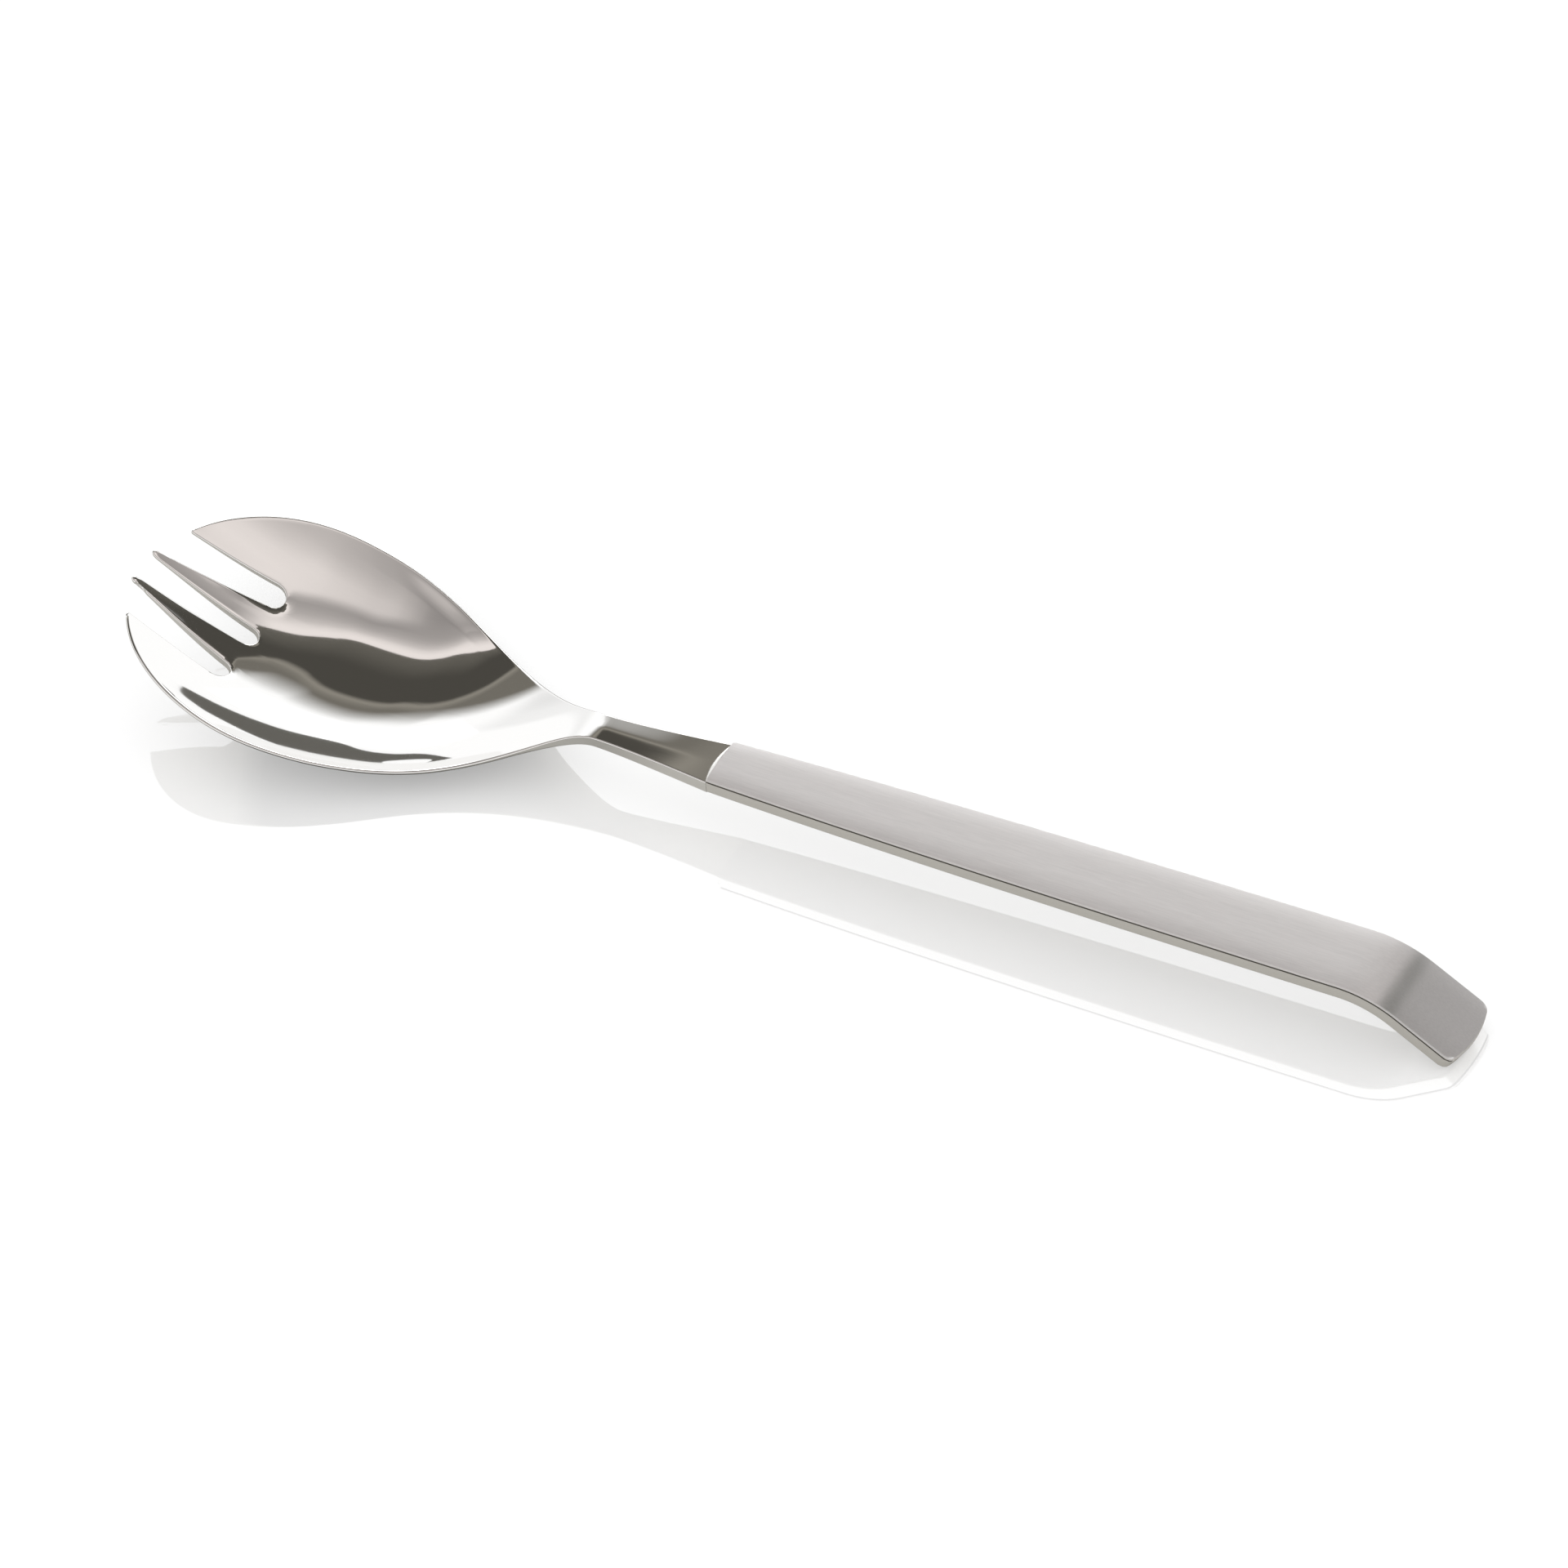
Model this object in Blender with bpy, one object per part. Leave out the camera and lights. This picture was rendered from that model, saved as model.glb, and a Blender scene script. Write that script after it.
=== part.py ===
"""Salad fork with a polished head and a hollow, satin-brushed handle.

Metres, +Z up. The tines point to -X, the handle runs to +X, and Y = 0 is the plane of symmetry.
The fork rests on z = 0 with the belly of its bowl and the end of its bent handle.
"""

import math

import bmesh
import bpy
import numpy as np
from mathutils import Vector
from mathutils.geometry import interpolate_bezier

for leftover in list(bpy.data.objects):
    bpy.data.objects.remove(leftover, do_unlink=True)

# Whole fork. Stations along the head are measured from the front of the bowl's outline.
LENGTH = 0.2511
FIT_GAP = 0.00025
SOLDER_GAP = 0.0001

# Head outline, seen from above. A pull is how far a curve follows its end tangent.
BOWL_WIDEST_AT = 0.0290
BOWL_HALF_WIDTH = 0.02505
BOWL_REAR_PULL = 0.0254
NECK_AT = 0.0884
NECK_HALF_WIDTH = 0.0030
NECK_FRONT_PULL = 0.0134
NECK_REAR_PULL = 0.0050
SHOULDER_AT = 0.1108
SHOULDER_HALF_WIDTH = 0.00495
SHOULDER_PULL = 0.0070
SHOULDER_FLARE = 0.00085

# Head profile, seen from the side
TINE_TIP_HEIGHT = 0.0172
TINE_RISE = math.radians(29.0)
TINE_PULL = 0.0183
BELLY_AT = 0.0485
BELLY_FRONT_PULL = 0.0175
BELLY_REAR_PULL = 0.0220
NECK_CLIMB_PULL = 0.0080
BOWL_CROSS_RADIUS = 0.0457
CROSS_FADES_FROM = 0.072
PROFILE_PAST = 0.002

# Lip: a narrow band inside the bowl's rim that stands up more steeply than the bowl
LIP_WIDTH = 0.0028
LIP_RISE = 0.2
LIP_EASE = 0.00025
LIP_STARTS = (0.010, 0.022)
LIP_FADES = (0.050, 0.066)

# Head thickness, and the slight crown of the flat on top of the neck
BOWL_THICKNESS = 0.0015
RIM_THICKNESS = 0.0007
TINE_TAPER_TO = 0.018
RIM_FADES_FROM = 0.074
RIM_SQUARENESS = 4
NECK_THICKENS_FROM = 0.062
FLAT_CROWN = 0.0002
FLAT_FROM = 0.0872
FLAT_RUN_IN = 0.0012
FLAT_FADES_FROM = 0.098

# Slots between the tines
SLOT_ROOT_AT = 0.0209
MIDDLE_SLOT_ROOT_RADIUS = 0.00185
MIDDLE_SLOT_MOUTH_HALF = 0.0027
SIDE_SLOT_ROOT_RADIUS = 0.0021
SIDE_SLOT_ROOT_Y = 0.0095
SIDE_SLOT_MOUTH_INNER = 0.0042
SIDE_SLOT_MOUTH_OUTER = 0.0108
TINE_TIP_Y = 0.00345
TINE_TIP_ROUND = 0.0013
TINE_TIP_AT = -0.0003
TINE_TIP_BLUNT = 0.0002
NOSE_TO = 0.0010

# Handle outline and bend. Heights in it are measured from the seam between its two shells.
SEAM_HEIGHT = 0.0122
SIDE_HEIGHT = 0.0024
HANDLE_END_HALF_WIDTH = 0.0070
HANDLE_FRONT_FLARE = 0.00125
HANDLE_FRONT_PULL = 0.0290
HANDLE_REAR_PULL = 0.0700
HANDLE_REAR_FLARE = 0.0001
BEND_RADIUS = 0.019
BEND_ANGLE = math.radians(33.6)
END_ARC_RADIUS = 0.019
END_CORNER_RADIUS = 0.0018
INNER_CORNER_RADIUS = 0.0004

# Shells of the handle
WALL = 0.0006
UNDER_EDGE_RADIUS = 0.0005
COVER_LAND = 0.00015
COVER_ROUND = 0.0003
COVER_CROWN = 0.0004
COVER_SQUARENESS = 4
COVER_LIP = 0.0012

# Inside the handle, and the fillet in front of it
TANG_THICKNESS = 0.0008
TANG_HALF_WIDTH = 0.0022
TANG_END_HALF_WIDTH = 0.0016
TANG_LENGTH = 0.038
TANG_ROOT = 0.0015
BEAD = 0.00045
CORE_FRONT = 0.0010
FILLET_REACH = 0.0011
FILLET_TAPER = 0.85

# How finely the curves and slopes are drawn, and how far cutters reach past what they cut
FRONT_STATIONS = 18
REAR_STATIONS = 33
HEAD_COLUMNS = 22
ROOT_STEPS = 14
ROUND_STEPS = 4
LEVEL_STEPS = 10
BEND_STEPS = 8
TIP_STEPS = 3
CROWN_STEPS = 6
FILLET_STEPS = 13
BEZIER_STEPS = 160
CUT_PAST = 0.004
SLOPE_RUN = 0.0003
MERGE = 0.000002
SHARP_ANGLE = math.radians(30.0)

QUARTER = 0.5 * math.pi


def smooth(value, start, end):
    """0 before start, 1 after end, an S-curve between."""
    part = np.clip((value - start) / (end - start), 0.0, 1.0)
    return part * part * (3.0 - 2.0 * part)


def bezier(first, first_pull, last_pull, last):
    points = [Vector((*p, 0.0)) for p in (first, first_pull, last_pull, last)]
    return np.array([p[:2] for p in interpolate_bezier(*points, BEZIER_STEPS)])


def material(name, colour, roughness, metallic):
    made = bpy.data.materials.new(name)
    made.use_nodes = True
    shader = made.node_tree.nodes["Principled BSDF"]
    shader.inputs["Base Color"].default_value = (*colour, 1.0)
    shader.inputs["Roughness"].default_value = roughness
    shader.inputs["Metallic"].default_value = metallic
    return made


def skin(rings):
    """Points and side faces of a run of rings with equally many points."""
    size = len(rings[0])
    points = [tuple(point) for ring in rings for point in ring]
    faces = []
    for row in range(0, (len(rings) - 1) * size, size):
        for i in range(size):
            j = (i + 1) % size
            faces.append((row + i, row + j, row + size + j, row + size + i))
    return points, faces


def solid(name, points, faces, finish=None):
    mesh = bpy.data.meshes.new(name)
    mesh.from_pydata(points, [], faces)
    shape = bmesh.new()
    shape.from_mesh(mesh)
    bmesh.ops.recalc_face_normals(shape, faces=shape.faces)
    shape.to_mesh(mesh)
    shape.free()
    made = bpy.data.objects.new(name, mesh)
    bpy.context.scene.collection.objects.link(made)
    if finish:
        mesh.materials.append(finish)
    return made


def loft(name, rings, finish=None):
    """A closed solid skinned over rings, with flat ends."""
    points, faces = skin(rings)
    size = len(rings[0])
    faces.append(tuple(range(size)))
    faces.append(tuple(range(len(points) - size, len(points))))
    return solid(name, points, faces, finish)


def combine(target, other, operation):
    """Applies a Boolean of the other object to the target and removes the other object."""
    other.hide_render = True
    other.display_type = "WIRE"
    change = target.modifiers.new(operation.lower(), "BOOLEAN")
    change.operation = operation
    change.solver = "EXACT"
    change.object = other
    bpy.context.view_layer.update()
    graph = bpy.context.evaluated_depsgraph_get()
    result = bpy.data.meshes.new_from_object(target.evaluated_get(graph))
    shape = bmesh.new()
    shape.from_mesh(result)
    bmesh.ops.remove_doubles(shape, verts=shape.verts, dist=MERGE)
    bmesh.ops.dissolve_degenerate(shape, edges=shape.edges, dist=MERGE)
    shape.to_mesh(result)
    shape.free()
    target.modifiers.clear()
    target.data = result
    bpy.data.objects.remove(other, do_unlink=True)


polished = material("polished_steel", (0.80, 0.79, 0.77), 0.06, 1.0)
brushed = material("brushed_steel", (0.74, 0.73, 0.72), 0.34, 1.0)
silver = material("silver_solder", (0.88, 0.87, 0.84), 0.15, 1.0)
filler = material("handle_filler", (0.42, 0.40, 0.37), 0.85, 0.0)

# Fork head. A flat blank is cut to its outline, its slots are pierced, and it is then pressed to shape.

rear_outline = bezier(
    (BOWL_WIDEST_AT, BOWL_HALF_WIDTH),
    (BOWL_WIDEST_AT + BOWL_REAR_PULL, BOWL_HALF_WIDTH),
    (NECK_AT - NECK_FRONT_PULL, NECK_HALF_WIDTH),
    (NECK_AT, NECK_HALF_WIDTH),
)
neck_outline = bezier(
    (NECK_AT, NECK_HALF_WIDTH),
    (NECK_AT + NECK_REAR_PULL, NECK_HALF_WIDTH),
    (SHOULDER_AT - SHOULDER_PULL, SHOULDER_HALF_WIDTH - SHOULDER_FLARE),
    (SHOULDER_AT, SHOULDER_HALF_WIDTH),
)
head_outline = np.vstack([rear_outline, neck_outline[1:]])
tine_profile = bezier(
    (0.0, TINE_TIP_HEIGHT),
    (TINE_PULL * math.cos(TINE_RISE), TINE_TIP_HEIGHT - TINE_PULL * math.sin(TINE_RISE)),
    (BELLY_AT - BELLY_FRONT_PULL, BOWL_THICKNESS),
    (BELLY_AT, BOWL_THICKNESS),
)
neck_profile = bezier(
    (BELLY_AT, BOWL_THICKNESS),
    (BELLY_AT + BELLY_REAR_PULL, BOWL_THICKNESS),
    (NECK_AT - NECK_CLIMB_PULL, SEAM_HEIGHT),
    (NECK_AT, SEAM_HEIGHT),
)
before_tips = (-PROFILE_PAST, TINE_TIP_HEIGHT + PROFILE_PAST * math.tan(TINE_RISE))
head_profile = np.vstack([before_tips, tine_profile, neck_profile[1:]])


def head_half_width(station):
    """A half ellipse in front of the widest place, with a nose for the inner tines, and a curve behind."""
    if station < BOWL_WIDEST_AT:
        part = 1.0 - max(station, NOSE_TO) / BOWL_WIDEST_AT
        oval = BOWL_HALF_WIDTH * math.sqrt(1.0 - part * part)
        return float(np.interp(station, (TINE_TIP_AT, NOSE_TO), (SIDE_SLOT_MOUTH_INNER, oval)))
    return float(np.interp(station, head_outline[:, 0], head_outline[:, 1]))


def head_surface(station, across):
    """The height of the upper face before the neck is crowned."""
    middle = np.interp(station, head_profile[:, 0], head_profile[:, 1])
    bow = (1.0 - smooth(station, CROSS_FADES_FROM, NECK_AT)) / BOWL_CROSS_RADIUS
    on_lip = max(0.0, abs(across) - head_half_width(station) + LIP_WIDTH)
    eased = on_lip - LIP_EASE * (1.0 - math.exp(-on_lip / LIP_EASE))
    rise = LIP_RISE * smooth(station, *LIP_STARTS) * (1.0 - smooth(station, *LIP_FADES))
    return middle + 0.5 * bow * across * across + rise * eased


def neck_crown(station, across):
    """How far the flat on top of the neck rises over its own edges."""
    share = across / head_half_width(station)
    crown = FLAT_CROWN * smooth(station, FLAT_FROM, FLAT_FROM + FLAT_RUN_IN)
    crown *= 1.0 - smooth(station, FLAT_FADES_FROM, SHOULDER_AT)
    return crown * (1.0 - share * share)


def head_thickness(station, across):
    """Thin at the rim and the tips, full in the belly, and growing along the neck to the handle's side."""
    full = RIM_THICKNESS + (BOWL_THICKNESS - RIM_THICKNESS) * smooth(station, 0.0, TINE_TAPER_TO)
    full += (SIDE_HEIGHT - BOWL_THICKNESS) * smooth(station, NECK_THICKENS_FROM, SHOULDER_AT)
    share = min(abs(across) / head_half_width(station), 1.0)
    thinned = share**RIM_SQUARENESS * (1.0 - smooth(station, RIM_FADES_FROM, NECK_AT))
    return full + (RIM_THICKNESS - full) * thinned


def press(station, across, depth):
    """Where a point of the flat blank goes. The depth is 0 on the upper face and 1 on the under face."""
    step = 0.5 * SLOPE_RUN
    along_rise = head_surface(station + step, across) - head_surface(station - step, across)
    cross_rise = head_surface(station, across + step) - head_surface(station, across - step)
    normal = Vector((-along_rise, -cross_rise, SLOPE_RUN)).normalized()
    height = head_surface(station, across) + (1.0 - depth) * neck_crown(station, across)
    return Vector((station, across, height)) - normal * (head_thickness(station, across) * depth)


# The blank has close stations round the tips, and ends that are divided like its faces.
sweep = np.linspace(0.0, QUARTER, FRONT_STATIONS)
front_stations = TINE_TIP_AT + (BOWL_WIDEST_AT - TINE_TIP_AT) * (1.0 - np.cos(sweep))
rear_stations = np.linspace(BOWL_WIDEST_AT, SHOULDER_AT, REAR_STATIONS)
blank_rings = []
for station in [*front_stations, *rear_stations[1:]]:
    half = head_half_width(station)
    columns = np.linspace(-half, half, HEAD_COLUMNS + 1)
    upper = [(station, y, 0.0) for y in columns]
    under = [(station, y, -BOWL_THICKNESS) for y in reversed(columns)]
    blank_rings.append(upper + under)
blank_points, blank_faces = skin(blank_rings)
ring_size = len(blank_rings[0])
for first in (0, len(blank_points) - ring_size):
    last = first + ring_size - 1
    for i in range(HEAD_COLUMNS):
        blank_faces.append((first + i, first + i + 1, last - i - 1, last - i))
fork_head = solid("fork_head", blank_points, blank_faces, polished)


def tip_flare(mouth_y, tip_y):
    """The quarter round that brings one edge of an inner tine to its tip."""
    turns = np.linspace(0.0, QUARTER, ROUND_STEPS + 1)
    runs = TINE_TIP_ROUND - (TINE_TIP_ROUND - TINE_TIP_AT + TINE_TIP_BLUNT) * np.sin(turns)
    sides = tip_y + (mouth_y - tip_y) * np.cos(turns)
    return list(zip(runs, sides))


def pierce(name, root_y, radius, left_edge, right_edge):
    """Cuts a slot with a round root. Its edges are given from behind the mouth to the front."""
    root = []
    for turn in np.linspace(-QUARTER, QUARTER, ROOT_STEPS):
        root.append((SLOT_ROOT_AT - radius + radius * math.cos(turn), root_y + radius * math.sin(turn)))
    beyond = [(-CUT_PAST, left_edge[-1][1]), (-CUT_PAST, right_edge[-1][1])]
    plan = root + left_edge + beyond + right_edge[::-1]
    rings = [[(s, y, z) for s, y in plan] for z in (-BOWL_THICKNESS - CUT_PAST, CUT_PAST)]
    combine(fork_head, loft(name, rings), "DIFFERENCE")


pierce(
    "middle_slot_cutter",
    0.0,
    MIDDLE_SLOT_ROOT_RADIUS,
    tip_flare(MIDDLE_SLOT_MOUTH_HALF, TINE_TIP_Y),
    tip_flare(-MIDDLE_SLOT_MOUTH_HALF, -TINE_TIP_Y),
)
pierce(
    "left_slot_cutter",
    SIDE_SLOT_ROOT_Y,
    SIDE_SLOT_ROOT_RADIUS,
    [(TINE_TIP_ROUND, SIDE_SLOT_MOUTH_OUTER)],
    tip_flare(SIDE_SLOT_MOUTH_INNER, TINE_TIP_Y),
)
pierce(
    "right_slot_cutter",
    -SIDE_SLOT_ROOT_Y,
    SIDE_SLOT_ROOT_RADIUS,
    tip_flare(-SIDE_SLOT_MOUTH_INNER, -TINE_TIP_Y),
    [(TINE_TIP_ROUND, -SIDE_SLOT_MOUTH_OUTER)],
)

front_station = press(TINE_TIP_AT, TINE_TIP_Y, 1.0).x
to_middle = Vector((-front_station - 0.5 * LENGTH, 0.0, 0.0))
for vertex in fork_head.data.vertices:
    flat = vertex.co
    vertex.co = press(flat.x, flat.y, -flat.z / BOWL_THICKNESS) + to_middle

# Handle. Its spine runs level from the shoulder, turns down through the bend and ends at the table.
# A place on it is given by the distance along the spine, the place across, and the height over the seam.

floor_top = -SIDE_HEIGHT + WALL
cover_edge = FIT_GAP + COVER_LAND + COVER_ROUND
end_drop = SEAM_HEIGHT - SIDE_HEIGHT * math.cos(BEND_ANGLE)
tip_run = (end_drop - BEND_RADIUS * (1.0 - math.cos(BEND_ANGLE))) / math.sin(BEND_ANGLE)
bend_run = BEND_RADIUS * BEND_ANGLE
end_reach = (BEND_RADIUS + cover_edge + COVER_CROWN) * math.sin(BEND_ANGLE) + tip_run * math.cos(BEND_ANGLE)
level_run = front_station + LENGTH - SHOULDER_AT - end_reach
spine_length = level_run + bend_run + tip_run
side_line = bezier(
    (0.0, SHOULDER_HALF_WIDTH),
    (HANDLE_FRONT_PULL, SHOULDER_HALF_WIDTH + HANDLE_FRONT_FLARE),
    (spine_length - HANDLE_REAR_PULL, HANDLE_END_HALF_WIDTH - HANDLE_REAR_FLARE),
    (spine_length, HANDLE_END_HALF_WIDTH),
)


def side_half_width(along):
    return float(np.interp(along, side_line[:, 0], side_line[:, 1]))


def on_spine(along, across, over):
    """The point in space for a place on the handle."""
    slope = min(max(along - level_run, 0.0), bend_run) / BEND_RADIUS
    rest = max(along - level_run - bend_run, 0.0)
    forward = Vector((math.cos(slope), 0.0, -math.sin(slope)))
    upward = Vector((math.sin(slope), 0.0, math.cos(slope)))
    arc_x = BEND_RADIUS * math.sin(slope)
    arc_z = BEND_RADIUS * (math.cos(slope) - 1.0)
    start = Vector((SHOULDER_AT + min(along, level_run) + arc_x, across, SEAM_HEIGHT + arc_z))
    return start + forward * rest + upward * over + to_middle


def handle_stations(front, inset):
    """Pairs of distance and half width along the handle's outline, drawn in by the inset.

    The end is an arc that meets each side in a round corner.
    """
    arc = END_ARC_RADIUS - inset
    arc_at = spine_length - END_ARC_RADIUS
    corner = max(END_CORNER_RADIUS - inset, INNER_CORNER_RADIUS)
    corner_y = HANDLE_END_HALF_WIDTH - inset - corner
    corner_at = arc_at + math.sqrt((arc - corner) ** 2 - corner_y**2)
    meet = math.asin(corner_y / (arc - corner))
    level = np.linspace(front, level_run, LEVEL_STEPS + 1)
    bend = np.linspace(level_run, level_run + bend_run, BEND_STEPS + 1)
    tip = np.linspace(level_run + bend_run, corner_at, TIP_STEPS + 1)
    pairs = [(s, side_half_width(s) - inset) for s in [*level, *bend[1:], *tip[1:]]]
    for turn in np.linspace(QUARTER, meet, ROUND_STEPS + 1)[1:]:
        pairs.append((corner_at + corner * math.cos(turn), corner_y + corner * math.sin(turn)))
    for turn in np.linspace(meet, 0.0, ROUND_STEPS + 2)[1:-1]:
        pairs.append((arc_at + arc * math.cos(turn), arc * math.sin(turn)))
    return pairs


def bar(name, front, inset, section, finish=None):
    """A solid along the handle. The section gives its ring from the half width and the place along."""
    rings = []
    for along, half in handle_stations(front, inset):
        rings.append([on_spine(along, y, n) for y, n in section(half, along)])
    return loft(name, rings, finish)


def block(under, upper):
    """A plain section between two heights."""
    return lambda half, along: [(-half, under), (half, under), (half, upper), (-half, upper)]


def both_sides(ring):
    """Closes a section from its right half, given from the seam down or up."""
    return ring + [(-y, n) for y, n in reversed(ring)]


# Lower shell: a tray with straight sides, a flat underside with rounded edges, and an open front.


def tray_section(half, along):
    ring = [(half, 0.0)]
    for turn in np.linspace(0.0, QUARTER, ROUND_STEPS):
        inward = UNDER_EDGE_RADIUS * (1.0 - math.cos(turn))
        upward = UNDER_EDGE_RADIUS * (1.0 - math.sin(turn))
        ring.append((half - inward, upward - SIDE_HEIGHT))
    return both_sides(ring)


lower_shell = bar("handle_lower_shell", FIT_GAP, 0.0, tray_section, brushed)
combine(lower_shell, bar("tray_cutter", -CUT_PAST, WALL, block(floor_top, CUT_PAST)), "DIFFERENCE")

# Upper shell: a crowned cover with rounded edges, hollow underneath by its own thickness.


def cover_top(across, along):
    """The height of the cover's top, which is nearly level in the middle and falls away towards its edges."""
    share = across / side_half_width(along)
    return cover_edge + COVER_CROWN * (1.0 - share**COVER_SQUARENESS)


def cover_section(half, along):
    upper = [(half, FIT_GAP)]
    for turn in np.linspace(0.0, QUARTER, ROUND_STEPS)[:-1]:
        inward = COVER_ROUND * (1.0 - math.cos(turn))
        upper.append((half - inward, FIT_GAP + COVER_LAND + COVER_ROUND * math.sin(turn)))
    under = []
    lip = min(COVER_LIP, 0.5 * half)
    for share in np.linspace(1.0, 0.0, CROWN_STEPS):
        y = share * (half - COVER_ROUND)
        upper.append((y, cover_top(y, along)))
        y = share * (half - lip)
        under.append((y, max(FIT_GAP, cover_top(y, along) - WALL)))
    left_upper = [(-y, n) for y, n in reversed(upper[:-1])]
    left_under = [(-y, n) for y, n in under[:-1]]
    return upper + left_upper + left_under + under[::-1]


bar("handle_upper_shell", FIT_GAP, 0.0, cover_section, brushed)

# Solder bead along the inside of the seam, round both sides and the end.

bead_inset = WALL + FIT_GAP
seam_solder = bar("seam_solder", CORE_FRONT, bead_inset, block(-BEAD, 0.0), silver)
bead_inside = bar("bead_cutter", -CUT_PAST, bead_inset + BEAD, block(-CUT_PAST, CUT_PAST))
combine(seam_solder, bead_inside, "DIFFERENCE")

# Filler core. It is stepped in under the bead, and hollow where the tang lies.

core_foot = floor_top + FIT_GAP
core_step = -BEAD - FIT_GAP
handle_core = bar("handle_core", CORE_FRONT, bead_inset, block(core_foot, core_step), filler)
core_top = bar("core_top", CORE_FRONT, bead_inset + BEAD + FIT_GAP, block(core_step - FIT_GAP, 0.0))
combine(handle_core, core_top, "UNION")


def tang_bar(name, grown):
    """The flat tang, or the same shape grown on all sides for the hollow that clears it."""
    under = core_foot - grown
    upper = core_foot + TANG_THICKNESS + grown
    rings = []
    for along, half in ((-TANG_ROOT, TANG_HALF_WIDTH), (TANG_LENGTH + grown, TANG_END_HALF_WIDTH)):
        rings.append([on_spine(along, y, n) for y, n in block(under, upper)(half + grown, along)])
    return loft(name, rings)


combine(handle_core, tang_bar("tang_cutter", FIT_GAP), "DIFFERENCE")
combine(fork_head, tang_bar("tang", 0.0), "UNION")

# Solder fillet: a concave lens in the step between the top of the neck and the front edge of the cover.

fillet_rings = []
fillet_back = FIT_GAP - SOLDER_GAP
for share in np.linspace(-1.0, 1.0, FILLET_STEPS):
    y = share * (SHOULDER_HALF_WIDTH - COVER_ROUND)
    fullness = 1.0 - (FILLET_TAPER * share) ** 2
    foot = SOLDER_GAP + neck_crown(SHOULDER_AT, y)
    rise = (cover_top(y, 0.0) - SOLDER_GAP - foot) * fullness
    reach = FILLET_REACH * fullness
    ring = [on_spine(fillet_back, y, foot)]
    for turn in np.linspace(QUARTER, 0.0, ROUND_STEPS + 1):
        along = fillet_back - reach * (1.0 - math.sin(turn))
        ring.append(on_spine(along, y, foot + rise * (1.0 - math.cos(turn))))
    fillet_rings.append(ring)
loft("neck_solder", fillet_rings, silver)

for made in bpy.data.objects:
    made.data.shade_smooth()
    made.data.set_sharp_from_angle(angle=SHARP_ANGLE)
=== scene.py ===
import math

import bmesh
import bpy
import numpy as np
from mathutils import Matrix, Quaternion, Vector


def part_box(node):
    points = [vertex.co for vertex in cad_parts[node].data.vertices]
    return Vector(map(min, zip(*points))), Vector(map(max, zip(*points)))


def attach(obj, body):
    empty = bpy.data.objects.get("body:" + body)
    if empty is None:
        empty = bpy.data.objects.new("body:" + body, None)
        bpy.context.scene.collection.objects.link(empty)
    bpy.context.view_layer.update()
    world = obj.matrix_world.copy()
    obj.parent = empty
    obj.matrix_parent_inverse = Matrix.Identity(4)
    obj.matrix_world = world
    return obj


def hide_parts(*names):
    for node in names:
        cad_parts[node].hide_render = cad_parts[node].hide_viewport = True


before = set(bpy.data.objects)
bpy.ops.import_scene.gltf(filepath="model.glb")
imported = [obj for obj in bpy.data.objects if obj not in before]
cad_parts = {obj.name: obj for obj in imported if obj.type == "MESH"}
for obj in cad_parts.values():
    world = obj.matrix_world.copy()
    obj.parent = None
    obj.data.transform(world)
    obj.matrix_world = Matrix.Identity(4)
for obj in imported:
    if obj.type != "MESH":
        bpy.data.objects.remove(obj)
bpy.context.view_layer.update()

# Fork head: bowl, four tines, neck and the tang hidden in the handle, one piece of stainless steel.
# It is blanked and slotted from sheet, its edges are rounded, and it is pressed to shape.
# All of it is buffed to a mirror, with the faint hairlines and ripple that a buffing wheel leaves.

BOWL_WIDEST_AT = 0.0290
BOWL_HALF_WIDTH = 0.02505
BOWL_REAR_PULL = 0.0254
NECK_AT = 0.0884
NECK_HALF_WIDTH = 0.0030
NECK_FRONT_PULL = 0.0134
NECK_REAR_PULL = 0.0050
SHOULDER_AT = 0.1108
SHOULDER_HALF_WIDTH = 0.00495
SHOULDER_PULL = 0.0070
SHOULDER_FLARE = 0.00085

TINE_TIP_HEIGHT = 0.0172
TINE_RISE = math.radians(29.0)
TINE_PULL = 0.0183
BELLY_AT = 0.0485
BELLY_FRONT_PULL = 0.0175
BELLY_REAR_PULL = 0.0220
NECK_CLIMB_PULL = 0.0080
SEAM_HEIGHT = 0.0122
BOWL_CROSS_RADIUS = 0.0457
CROSS_FADES_FROM = 0.072
PROFILE_PAST = 0.002
LIP_WIDTH = 0.0028
LIP_RISE = 0.2
LIP_EASE = 0.00025
LIP_STARTS = (0.026, 0.042)
LIP_FADES = (0.046, 0.062)

BOWL_THICKNESS = 0.0015
RIM_THICKNESS = 0.0007
SIDE_HEIGHT = 0.0024
TINE_TAPER_TO = 0.018
RIM_FADES_FROM = 0.074
RIM_SQUARENESS = 4
NECK_THICKENS_FROM = 0.062
FLAT_CROWN = 0.000125
FLAT_RIDGE_SOFTNESS = 0.15
FLAT_FROM = 0.0872
FLAT_RUN_IN = 0.0012
FLAT_FADES_FROM = 0.098

SLOT_ROOT_AT = 0.0209
MIDDLE_SLOT_ROOT_RADIUS = 0.00185
MIDDLE_SLOT_MOUTH_HALF = 0.0027
SIDE_SLOT_ROOT_RADIUS = 0.0021
SIDE_SLOT_ROOT_Y = 0.0095
SIDE_SLOT_MOUTH_INNER = 0.0042
SIDE_SLOT_MOUTH_OUTER = 0.0106
TINE_TIP_Y = 0.00345
TINE_TIP_ROUND = 0.0013
TINE_TIP_AT = -0.0003
NOSE_TO = 0.0010
OUTER_TIP_RADIUS = 0.00035
HEAD_EDGE = 0.00025
RIM_EDGE = 0.0005
RIM_EDGE_FULL = (0.010, 0.060)
RIM_EDGE_GONE = (0.003, 0.085)
TINE_ROUND_WIDTH = 0.0018
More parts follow.
